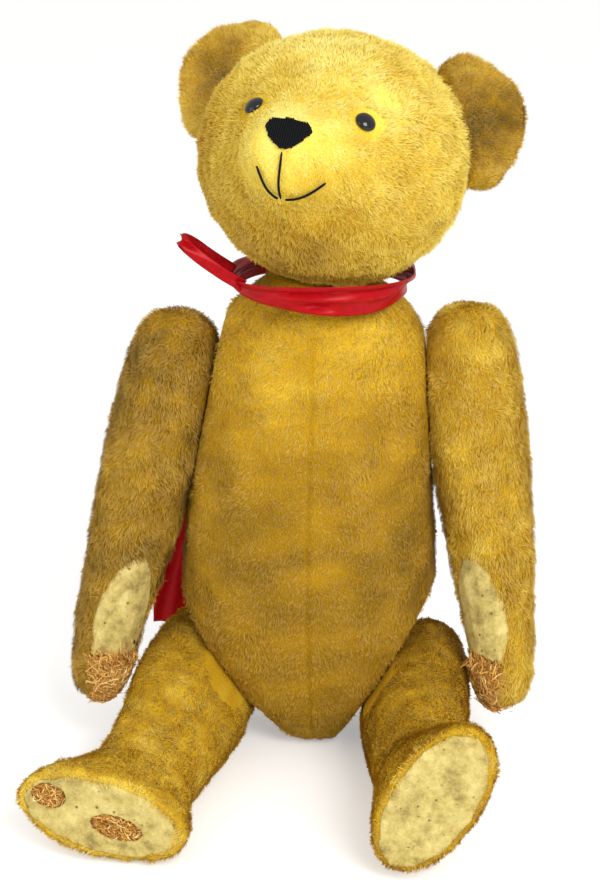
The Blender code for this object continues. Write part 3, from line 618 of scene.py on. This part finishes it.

# Ears: two half-round flaps of plush each, sewn edge to edge, cupped forward and set on the crown.
# Hair stands thick on the rim; in the deep hollow it is shorter, and its cloth and hair carry painted shade.
EAR_HAIRS = 14000
EAR_TONE = {"right": 0.74, "left": 0.66}
for side, seed, sink in (("right", 500, 0.0110), ("left", 520, 0.0130)):
    name = "ear_" + side
    ear = stuffed_skin(name + "_skin", [], name, "head", 0.0019, 0.0004, seed)
    low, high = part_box(name)
    root = np.array(MIDDLE - AHEAD * 0.006)
    out = unit(((np.array(low) + np.array(high)) / 2 - root)[None])[0]
    out = unit((out - np.array(AHEAD) * (out @ np.array(AHEAD)))[None])[0]
    flat = np.cross(out, np.array(AHEAD))

    def hollow(p, root=root, out=out, flat=flat):
        reach, across = (p - root) @ out - 0.090, (p - root) @ flat
        toward_head, toward_rim = np.minimum(reach, 0), np.maximum(reach, 0)
        return np.exp(-((across / 0.022) ** 2) - (toward_head / 0.030) ** 2 - (toward_rim / 0.020) ** 2)

    co, normals, _ = arrays_of(ear.data)
    front = np.clip((normals @ np.array(AHEAD)) * 2, 0.35, 1)
    put_points(ear.data, co - np.array(AHEAD) * (hollow(co) * front * sink)[:, None])

    def ear_tone(p, base=EAR_TONE[side], seed=seed, hollow=hollow, root=root, out=out, flat=flat):
        # The hollow and the crease across it are darkened: painted shade in the cup of the ear.
        crease = np.exp(-((((p - root) @ flat) - 0.35 * ((p - root) @ out - 0.09)) / 0.006) ** 2)
        wear_and_hollow_shade = 0.38 * hollow(p) + 0.08 * crease * hollow(p)
        return base - wear_and_hollow_shade + 0.06 * ripple(p, 0.020, seed) + 0.05 * ripple(p, 0.008, seed + 1)

    dye(ear, ear_tone)
    ear.data.materials.append(cloth)
    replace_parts(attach(ear, "head"), name)
    coat = grow_pile(
        name + "_pile", ear, EAR_HAIRS, lambda p, n: unit(p - np.array(MIDDLE)),
        lambda p, n, hollow=hollow: 0.0046 - 0.0022 * hollow(p), ear_tone, lambda p, n: np.ones(len(p)),
        0.00040, 0.42, seed + 5,
    )
    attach(coat, "head")

# Eyes: black boot buttons with a shank, pressed into the pile.
# The frame's turned button is only rounded by subdivision.
button_material, tree, shader = plain_material("boot_button", (0.006, 0.006, 0.008), 0.10)
place = add(tree, "ShaderNodeTexCoord")
rub = add(tree, "ShaderNodeTexNoise", Scale=500.0, Detail=3.0)
dull = add(tree, "ShaderNodeMapRange")
dull.inputs["To Min"].default_value, dull.inputs["To Max"].default_value = 0.06, 0.16
link(tree, ((place, "Object"), (rub, "Vector")), ((rub, "Fac"), (dull, "Value")),
     ((dull, "Result"), (shader, "Roughness")))


def rounded(name, node, levels):
    """A copy of a frame piece with its facets rounded by subdivision."""
    made = placed(name, nodes[node].data.copy())
    weld = made.modifiers.new("weld", "WELD")
    weld.merge_threshold = 0.00002
    soft = made.modifiers.new("soft", "SUBSURF")
    soft.levels = soft.render_levels = levels
    bpy.ops.object.modifier_apply(modifier="weld")
    bpy.ops.object.modifier_apply(modifier="soft")
    made.data.materials.clear()
    made.data.shade_smooth()
    return made


for side in ("right", "left"):
    button = rounded(f"eye_{side}_button", "eye_" + side, 2)
    button.data.materials.append(button_material)
    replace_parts(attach(button, "head"), "eye_" + side)

# Nose and mouth: black cotton worked straight onto the muzzle, in satin stitch and three long stitches.
# Each thread is a round strand that follows the pad or the cloth under it.
thread_material, tree, shader = plain_material("black_cotton", (0.004, 0.004, 0.005), 0.7)
shader.inputs["Specular IOR Level"].default_value = 0.15
place = add(tree, "ShaderNodeTexCoord")
twist = add(tree, "ShaderNodeTexNoise", Scale=1500.0, Detail=2.0)
lift = add(tree, "ShaderNodeBump", Strength=0.5, Distance=0.0003)
tint = ramp(tree, [(0.3, (0.001, 0.0015, 0.002)), (0.75, (0.006, 0.007, 0.008))])
link(tree, ((place, "Object"), (twist, "Vector")), ((twist, "Fac"), (tint, "Fac")),
     ((tint, "Color"), (shader, "Base Color")), ((twist, "Fac"), (lift, "Height")),
     ((lift, "Normal"), (shader, "Normal")))


def strands(name, lines, radius, looks):
    """Round threads along lists of points, as one mesh."""
    curve = bpy.data.curves.new(name, "CURVE")
    curve.dimensions, curve.bevel_depth, curve.bevel_resolution, curve.use_fill_caps = "3D", radius, 1, True
    for points in lines:
        line = curve.splines.new("POLY")
        line.points.add(len(points) - 1)
        for point, at in zip(line.points, points):
            point.co = (*at, 1)
    made = placed(name, curve)
    bpy.ops.object.convert(target="MESH")
    made.data.shade_smooth()
    made.data.materials.append(looks)
    return made


pad_tree = surface_tree(nodes["nose_stitching"].data)
low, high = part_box("nose_stitching")
nose_middle = (low + high) / 2
lines = []
for i in range(19):
    across = (i / 18 - 0.5) * 0.0225
    points = []
    for j in range(22):
        start = nose_middle + sideways * across + UP * (0.010 - j * 0.0011) + AHEAD * 0.03
        hit = pad_tree.ray_cast(start, -AHEAD)
        if hit[0] is not None and (hit[0] - nose_middle).dot(AHEAD) > -0.006:
            points.append(hit[0] + AHEAD * 0.0001)
    if len(points) > 2:
        lines.append(points)
nose = strands("nose_threads", lines, 0.00062, thread_material)
nose_pad = rounded("nose_pad", "nose_stitching", 2)
nose_pad.data.materials.append(thread_material)
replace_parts(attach(nose_pad, "head"), "nose_stitching")
for piece in (nose, nose_pad):
    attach(piece, "head")
for name in ("mouth_middle", "mouth_right", "mouth_left"):
    mouth = rounded(name + "_thread", name, 1)
    mouth.data.materials.append(thread_material)
    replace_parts(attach(mouth, "head"), name)

# Felt pads: four flat pieces of wool felt, turned under and sewn to the edge of the plush.
# Moths and rubbing have opened both paw tips and two holes in the right sole.
felt_material, tree, shader = plain_material("wool_felt", (0.60, 0.49, 0.22), 1.0)
shader.inputs["Specular IOR Level"].default_value = 0.1
place = add(tree, "ShaderNodeTexCoord")
cloud = add(tree, "ShaderNodeTexNoise", Scale=85.0, Detail=6.0, Roughness=0.75)
fibre = add(tree, "ShaderNodeTexNoise", Scale=1300.0, Detail=3.0)
tint = ramp(tree, [(0.34, (0.30, 0.22, 0.070)), (0.5, (0.55, 0.43, 0.135)), (0.66, (0.72, 0.60, 0.23))])
specks = add(tree, "ShaderNodeTexVoronoi", Scale=120.0)
dots = ramp(tree, [(0.06, (0.40, 0.30, 0.16)), (0.14, (1.0, 1.0, 1.0))])
shade = add(tree, "ShaderNodeMix", data_type="RGBA", blend_type="MULTIPLY")
shade.inputs["Factor"].default_value = 1.0
lift = add(tree, "ShaderNodeBump", Strength=0.7, Distance=0.0008)
link(tree, ((place, "Object"), (cloud, "Vector")), ((place, "Object"), (fibre, "Vector")),
     ((place, "Object"), (specks, "Vector")),
     ((cloud, "Fac"), (tint, "Fac")), ((specks, "Distance"), (dots, "Fac")),
     ((fibre, "Fac"), (lift, "Height")), ((lift, "Normal"), (shader, "Normal")))
tree.links.new(tint.outputs["Color"], shade.inputs[6])
tree.links.new(dots.outputs["Color"], shade.inputs[7])
tree.links.new(shade.outputs[2], shader.inputs["Base Color"])
FRAY = 0.00075
PAW_WORN = {"arm_right": 0.008, "arm_left": 0.013}
felts = {}
for body, pad in (("arm_right", "paw"), ("arm_left", "paw"), ("leg_right", "foot"), ("leg_left", "foot")):
    node = f"{body}_{pad}_pad"
    felt = stuffed_skin(node + "_felt", [], node, "none", 0.0009, 0.0, 7)
    co, normals, _ = arrays_of(felt.data)
    fray = [ripple(co, 0.0045, 70 + i) + 0.6 * ripple(co, 0.0018, 80 + i) for i in range(3)]
    fray = np.stack(fray, 1) * FRAY
    fray -= normals * (fray * normals).sum(1, keepdims=True)
    put_points(felt.data, co + fray)
    if body in PAW_WORN:
        bm = bmesh.new()
        bm.from_mesh(felt.data)
        low = min(v.co.z for v in bm.verts)
        middles = np.array([tuple(face.calc_center_median()) for face in bm.faces])
        line = low + PAW_WORN[body] + 0.0035 * ripple(middles, 0.014, 91) + 0.0015 * ripple(middles, 0.004, 92)
        wear_and_hollow_shade = [face for face, gone in zip(bm.faces, middles[:, 2] < line) if gone]
        bmesh.ops.delete(bm, geom=wear_and_hollow_shade, context="FACES")
        bmesh.ops.delete(bm, geom=[v for v in bm.verts if not v.link_faces], context="VERTS")
        bm.to_mesh(felt.data)
        bm.free()
        felt.data.shade_smooth()
    felts[body] = felt
    felt.data.materials.append(felt_material)
    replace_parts(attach(felt, body), node)

# Shavings in the worn places: crisp curled strips of pine that spring out where the felt has gone.
# Each strip is a bent flat ribbon under a millimetre wide, and the tangle stays rooted in the filling.
curl_material, tree, shader = plain_material("pine_curls", SHAVING, 0.6)
shader.inputs["Specular IOR Level"].default_value = 0.2
spot = add(tree, "ShaderNodeUVMap", uv_map="OFBake")
split = add(tree, "ShaderNodeSeparateXYZ")
tint = ramp(tree, [
    (0.0, (0.18, 0.070, 0.010)), (0.40, (0.55, 0.255, 0.040)), (0.70, (0.82, 0.48, 0.12)),
    (1.0, (0.98, 0.82, 0.42)),
])
link(tree, ((spot, "UV"), (split, "Vector")), ((split, "X"), (tint, "Fac")),
     ((tint, "Color"), (shader, "Base Color")))
TRIES = 26000


def openings(body, pad_node, count, dice):
    """Points and normals on the filling where neither plush nor felt covers it."""
    co, _, tris = arrays_of(nodes[body + "_stuffing"].data)
    a, b, c = (co[tris[:, i]] for i in range(3))
    flat = np.cross(b - a, c - a)
    area = np.linalg.norm(flat, axis=1)
    low, high = (np.array(corner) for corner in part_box(pad_node))
    near = ((a > low - 0.03) & (a < high + 0.03)).all(1)
    pick = dice.choice(len(tris), size=TRIES, p=area * near / (area * near).sum())
    u, v = dice.random(TRIES), dice.random(TRIES)
    flip = u + v > 1
    u[flip], v[flip] = 1 - u[flip], 1 - v[flip]
    points = a[pick] * (1 - u - v)[:, None] + b[pick] * u[:, None] + c[pick] * v[:, None]
    plush, felt = surface_tree(nodes[body + "_cover"].data), surface_tree(felts[body].data)
    found = []
    for at, face in zip(points, pick):
        if plush.find_nearest(at)[3] > 0.0014 and felt.find_nearest(at)[3] > 0.0011:
            normal = Vector(flat[face]).normalized()
            start = Vector(at) + normal * 0.0002
            if all(over.ray_cast(start, normal, 0.03)[0] is None for over in (plush, felt)):
                found.append((at, np.array(normal)))
    order = dice.permutation(len(found))[:count]
    return [found[i] for i in order]


def curls(name, body, pad_node, count, long, high, along, seed):
    """A tangle of curled strips, rooted in the worn places beside a pad."""
    dice = np.random.default_rng(seed)
    steps = 12
    verts, faces, tones = [], [], []
    for at, normal in openings(body, pad_node, count, dice):
        run = np.array(along) * dice.choice([-1, 1]) + dice.normal(size=3) * 0.75
        run = unit((run - normal * (run @ normal))[None])[0]
        side = np.cross(normal, run)
        size = long * dice.uniform(0.5, 1.15)
        t = np.linspace(-0.5, 0.5, steps)
        sway = size * dice.uniform(0.05, 0.22) * np.sin(t * dice.uniform(3, 8) + dice.uniform(0, 6.3))
        rise = dice.uniform(0.1, 0.9) + 0.45 * np.cos(t * dice.uniform(3, 9) + dice.uniform(-1, 1))
        rise = high * rise - 0.3 * high
        path = at + np.outer(t * size, run) + np.outer(sway, side) + np.outer(rise * np.cos(t * 3.0), normal)
        twist = dice.uniform(0, 6.3) + t * dice.uniform(-4, 4)
        edge = np.outer(np.cos(twist), side) + np.outer(np.sin(twist), normal)
        edge = edge * dice.uniform(0.00018, 0.00040)
        base = len(verts)
        verts += [*np.stack([path - edge, path + edge], 1).reshape(-1, 3)]
        faces += [tuple(base + 2 * k + corner for corner in (0, 1, 3, 2)) for k in range(steps - 1)]
        tones += [float(np.clip(dice.normal(0.55, 0.2), 0.02, 0.98))] * (steps - 1)
    mesh = bpy.data.meshes.new(name)
    mesh.from_pydata([tuple(v) for v in verts], [], faces)
    uv = np.zeros((len(faces), 4, 2), np.float32)
    uv[:, :, 0] = np.array(tones)[:, None]
    uv[:, :, 1] = 0.5
    mesh.uv_layers.new(name="OFBake").data.foreach_set("uv", uv.ravel())
    mesh.shade_smooth()
    mesh.materials.append(curl_material)
    made = placed(name, mesh)
    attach(made, body)


curls("paw_right_shavings", "arm_right", "arm_right_paw_pad", 1200, 0.017, 0.0034, (0.5, -0.2, -0.8), 601)
curls("paw_left_shavings", "arm_left", "arm_left_paw_pad", 1200, 0.017, 0.0034, (0.0, -0.2, -1.0), 602)
curls("sole_right_shavings", "leg_right", "leg_right_foot_pad", 480, 0.0105, 0.0026, (0.6, 0.0, 0.4), 603)

# Ribbon: one length of red satin taken round the neck, crumpled in front and knotted behind.
# A slack loop stands out at the right shoulder, and two tails hang down the back.
satin_material, tree, shader = plain_material("red_satin", (0.38, 0.003, 0.006), 0.30)
shader.inputs["Specular IOR Level"].default_value = 0.35
shader.inputs["Specular Tint"].default_value = (1.0, 0.30, 0.30, 1)
place = add(tree, "ShaderNodeTexCoord")
slub = add(tree, "ShaderNodeTexNoise", Scale=260.0, Detail=2.0)
tint = ramp(tree, [(0.3, (0.33, 0.002, 0.005)), (0.7, (0.42, 0.003, 0.007))])
thread = add(tree, "ShaderNodeTexNoise", Scale=2200.0, Detail=1.0)
lift = add(tree, "ShaderNodeBump", Strength=0.08, Distance=0.0002)
link(tree, ((place, "Object"), (slub, "Vector")), ((place, "Object"), (thread, "Vector")),
     ((slub, "Fac"), (tint, "Fac")), ((tint, "Color"), (shader, "Base Color")),
     ((thread, "Fac"), (lift, "Height")), ((lift, "Normal"), (shader, "Normal")))
RIBBON_WIDE = 0.024
UNDER = 0.0009  # how far a turned edge lies below the front
RIBBON_CLEAR = 0.0018
SATIN_THICK = 0.00030
RIBBON_AT = 0.2882
KNOT_AT = np.array((0.0050, -0.003 + 0.0545 + 0.004, RIBBON_AT))
LOOP_AT = np.array((0.0050 - 0.0585, -0.003, RIBBON_AT))


def smooth_line(points, count):
    """A smooth line of this many points through the given ones."""
    points = np.array(points, float)
    spread = np.concatenate([[2 * points[0] - points[1]], points, [2 * points[-1] - points[-2]]])
    made = []
    for t in np.linspace(0, len(points) - 1 - 1e-6, count):
        i, f = int(t), t - int(t)
        a, b, c, d = spread[i:i + 4]
        cubic = (2 * a - 5 * b + 4 * c - d) * f * f + (3 * b - a - 3 * c + d) * f**3
        made.append(0.5 * (2 * b + (c - a) * f + cubic))
    return np.array(made)


def satin(name, line, across, width, fold, closed=False, columns=15, layers=1, cut=None, rests=None):
    """A strip of ribbon along a line: fold gives how far each thread of it stands off the flat.
    More layers lay it over itself lengthwise, and a wider cut turns its edges under. It stays clear of rests.
    """
    count = len(line)
    run = np.roll(line, -1, 0) - np.roll(line, 1, 0)
    if not closed:
        run[0], run[-1] = line[1] - line[0], line[-1] - line[-2]
    run = unit(run)
    w = unit(across - run * (across * run).sum(1, keepdims=True))
    face = np.cross(run, w)
    s = np.linspace(-1, 1, columns)[None, :]
    half = np.asarray(width)[:, None] / 2
    place, under = s * half, np.zeros((count, columns))
    if layers > 1:
        place = 2 / math.pi * np.arcsin(0.985 * np.sin(s * layers * math.pi / 2)) / layers * half
    if cut:
        over = np.maximum(np.abs(s) * cut / 2 - half, 0)
        place = np.sign(s) * (np.minimum(np.abs(s) * cut / 2, half) - over)
        under = -UNDER * np.clip(over / 0.0010, 0, 1)
        s = place / half
    verts = line[:, None] + w[:, None] * place[:, :, None]
    verts += face[:, None] * fold(np.arange(count)[:, None] / count, s)[:, :, None]
    if rests is not None:
        for row in verts:
            for index, at in enumerate(row):
                hit, normal, _, _ = rests.find_nearest(Vector(at))
                apart = (Vector(at) - hit).dot(normal)
                if apart < RIBBON_CLEAR:
                    row[index] = at + np.array(normal) * (RIBBON_CLEAR - apart)
    verts += face[:, None] * under[:, :, None]
    faces = []
    for i in range(count if closed else count - 1):
        j = (i + 1) % count
        here, there = i * columns, j * columns
        faces += [(here + k, here + k + 1, there + k + 1, there + k) for k in range(columns - 1)]
    mesh = bpy.data.meshes.new(name)
    mesh.from_pydata([tuple(v) for v in verts.reshape(-1, 3)], [], faces)
    made = placed(name, mesh)
    skin = made.modifiers.new("thickness", "SOLIDIFY")
    skin.thickness, skin.offset = SATIN_THICK, 0
    bpy.ops.object.modifier_apply(modifier="thickness")
    mesh.shade_smooth()
    mesh.materials.append(satin_material)
    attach(made, "torso")
    return made


RING_STEPS = 260
RING_X, RING_Y = 0.0032, -0.003
RING_WIDE, RING_DEEP = 0.0520, 0.0530
turns = np.linspace(0, 2 * math.pi, RING_STEPS, endpoint=False)
ring = np.stack([
    RING_X + RING_WIDE * np.cos(turns), RING_Y + RING_DEEP * np.sin(turns),
    RIBBON_AT + 0.0004 + 0.0016 * np.cos(turns) ** 2 + 0.0008 * np.sin(3 * turns + 0.5),
], 1)
ring_across = np.stack([0.42 * np.cos(turns), 0.42 * np.sin(turns), np.ones(RING_STEPS)], 1)
ring_wide = 0.0130 + 0.0070 * np.exp(-(1 - np.cos(turns - 5.15)) / 0.30)


def ring_fold(t, s):
    """Creases of the front: a long one near the top, a teardrop under it and a tuck at the left cheek."""
    a = 2 * math.pi * t
    u = (a - 1.5 * math.pi + math.pi) % (2 * math.pi) - math.pi
    front = 1 / (1 + np.exp(-(u + 0.40) / 0.07)) / (1 + np.exp((u - 1.20) / 0.07))
    crease = 0.0016 * np.exp(-((s - 0.10 + 0.10 * u) / 0.17) ** 2)
    crease = crease - 0.0026 * np.exp(-((s - 0.44 - 0.10 * u) / 0.13) ** 2)
    drop = 0.0015 * np.exp(-((s + 0.80) / 0.15) ** 2 - ((u - 0.07) / 0.24) ** 2)
    drop = drop - 0.0026 * np.exp(-((s + 0.48) / 0.18) ** 2 - ((u - 0.02) / 0.15) ** 2)
    tuck = -0.0022 * np.exp(-((s + 0.10 - 0.9 * (u - 1.0)) / 0.14) ** 2 - ((u - 1.0) / 0.22) ** 2)
    rear = (1 - front) * 0.0010 * np.sin(4.5 * s + 2 * np.sin(2 * a) + 2 * a)
    return front * crease + drop + tuck + rear + 0.0007 * np.sin(2.2 * s + 2 * a)


band = satin("ribbon_band", ring, ring_across, ring_wide, ring_fold, True, 41, cut=RIBBON_WIDE,
             rests=surface_tree(torso.data))
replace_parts(band, "neck_ribbon")
loop_line = smooth_line([LOOP_AT + np.array(step) for step in (
    (0.0135, -0.0270, 0.0030), (0.0005, -0.0300, 0.0115), (-0.0125, -0.0320, 0.0215),
    (-0.0205, -0.0300, 0.0285), (-0.0185, -0.0210, 0.0275), (-0.0075, -0.0140, 0.0175),
    (0.0055, -0.0080, 0.0075),
)], 60)
loop_turn = smooth_line([
    (0.25, 0.2, 1), (0.4, 0.1, 0.9), (0.6, 0.3, 0.6), (0.2, 0.8, 0.5), (-0.1, 0.5, 0.9), (0.2, 0.2, 1),
    (0.25, 0.2, 1),
], 60)
loop = satin("ribbon_loop", loop_line, loop_turn, np.full(60, 0.0236),
             lambda t, s: 0.0014 * s + 0.0005 * np.sin(8 * s - 9 * t), columns=31, layers=3)
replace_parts(loop, "neck_ribbon")
tail_steps = {
    "right": [
        (-0.002, 0.001, -0.001), (-0.016, 0.009, -0.014), (-0.041, 0.0105, -0.0415),
        (-0.065, 0.0155, -0.0915), (-0.087, 0.0125, -0.1415), (-0.099, 0.0065, -0.1865),
        (-0.104, 0.0025, -0.2215), (-0.105, 0.0025, -0.2455),
    ],
    "left": [
        (0.002, 0.0015, -0.001), (0.014, 0.010, -0.014), (0.021, 0.0125, -0.0465), (0.031, 0.0205, -0.0965),
        (0.035, 0.0245, -0.1465), (0.033, 0.0255, -0.1915), (0.029, 0.0245, -0.2295),
    ],
}
tail_turns = {
    "right": [(0.65, 0.1, -0.75), (0.8, 0.2, -0.5), (0.95, 0.25, -0.1)] + [(1, 0.25, 0.2)] * 5,
    "left": [(0.7, 0.0, 0.7), (0.85, 0.1, 0.5)] + [(1, 0.1, 0.1)] * 5,
}
tails = {}
for side, steps in tail_steps.items():
    line = smooth_line([KNOT_AT + np.array(step) for step in steps], 90)
    wide = 0.0236 * np.clip(0.35 + np.linspace(0, 1, 90) * 3, 0.35, 1)
    tails[side] = satin(
        "ribbon_tail_" + side, line, smooth_line(tail_turns[side], 90), wide,
        lambda t, s: 0.0012 * np.sin(2.5 * s + 7 * t) * (0.4 + t) + 0.0005 * np.sin(7 * s + 15 * t),
    )
    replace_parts(tails[side], "neck_ribbon")

# Knot: the same satin pulled tight over itself at the back of the neck.
# The two tails start at it.
KNOT_RADIUS = 0.0098
bpy.ops.object.select_all(action="DESELECT")
bpy.ops.mesh.primitive_uv_sphere_add(segments=48, ring_count=28, radius=KNOT_RADIUS, location=tuple(KNOT_AT))
knot = bpy.context.object
knot.name = "ribbon_knot"
bpy.ops.object.transform_apply(location=True, rotation=False, scale=False)
co, normals, _ = arrays_of(knot.data)
from_knot = co - KNOT_AT
round_knot = np.arctan2(from_knot[:, 2], from_knot[:, 0])
pleat = 0.0009 * np.sin(round_knot * 3 + from_knot[:, 1] * 900) + 0.0006 * np.sin(from_knot[:, 0] * 1300)
put_points(knot.data, KNOT_AT + from_knot * np.array((1.3, 0.75, 1.0)) + normals * pleat[:, None])
knot.data.shade_smooth()
knot.data.materials.append(satin_material)
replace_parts(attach(knot, "torso"), "neck_ribbon")

# Floor, lights and camera: a pale floor under a white studio, a soft key lamp and a weaker fill.
# Floor and backdrop look white to the camera only, which stands about where the photographer did.
floor_material, tree, shader = plain_material("pale_floor", (0.86, 0.86, 0.85), 0.9)
path = add(tree, "ShaderNodeLightPath")
glow = add(tree, "ShaderNodeEmission")
glow.inputs["Strength"].default_value = 0.34
both = add(tree, "ShaderNodeAddShader")
pick = add(tree, "ShaderNodeMixShader")
out = tree.nodes["Material Output"]
link(tree, ((path, "Is Camera Ray"), (pick, 0)), ((shader, "BSDF"), (pick, 1)),
     ((shader, "BSDF"), (both, 0)),
     ((glow, "Emission"), (both, 1)), ((both, "Shader"), (pick, 2)), ((pick, "Shader"), (out, "Surface")))
bpy.ops.mesh.primitive_plane_add(size=60, location=(0, 0, -0.0002))
floor = bpy.context.object
floor.name = "floor"
bpy.ops.object.transform_apply(location=True, rotation=False, scale=False)
floor.data.materials.append(floor_material)

world = bpy.data.worlds.new("studio")
bpy.context.scene.world = world
world.use_nodes = True
tree = world.node_tree
backing = tree.nodes["Background"]
backing.inputs["Color"].default_value = (1.0, 0.995, 0.99, 1)
backing.inputs["Strength"].default_value = 0.75
white = add(tree, "ShaderNodeBackground")
white.inputs["Color"].default_value = (1, 1, 1, 1)
white.inputs["Strength"].default_value = 1.0
path = add(tree, "ShaderNodeLightPath")
pick = add(tree, "ShaderNodeMixShader")
link(tree, ((path, "Is Camera Ray"), (pick, 0)), ((backing, "Background"), (pick, 1)),
     ((white, "Background"), (pick, 2)),
     ((pick, "Shader"), (tree.nodes["World Output"], "Surface")))


def lamp(name, at, aim, size, watts):
    data = bpy.data.lights.new(name, "AREA")
    data.shape, data.size, data.energy = "SQUARE", size, watts
    made = bpy.data.objects.new(name, data)
    bpy.context.scene.collection.objects.link(made)
    made.location = at
    made.rotation_euler = (Vector(aim) - Vector(at)).to_track_quat("-Z", "Y").to_euler()


lamp("key", (0.8, -1.5, 1.2), (0, 0, 0.2), 0.9, 28)
lamp("fill", (-1.4, -1.2, 0.7), (0, 0, 0.2), 1.2, 7)

camera = bpy.data.cameras.new("camera")
camera.lens, camera.sensor_width = 78, 36
eye_point = bpy.data.objects.new("camera", camera)
bpy.context.scene.collection.objects.link(eye_point)
aim = Vector((-0.010, 0, 0.187))
rise_angle, round_angle, away = math.radians(18), math.radians(5), 1.16
eye_point.location = aim + away * Vector((
    math.sin(round_angle) * math.cos(rise_angle),
    -math.cos(round_angle) * math.cos(rise_angle),
    math.sin(rise_angle),
))
eye_point.rotation_euler = (aim - eye_point.location).to_track_quat("-Z", "Y").to_euler()
bpy.context.scene.camera = eye_point
bpy.context.scene.view_settings.view_transform = "Standard"
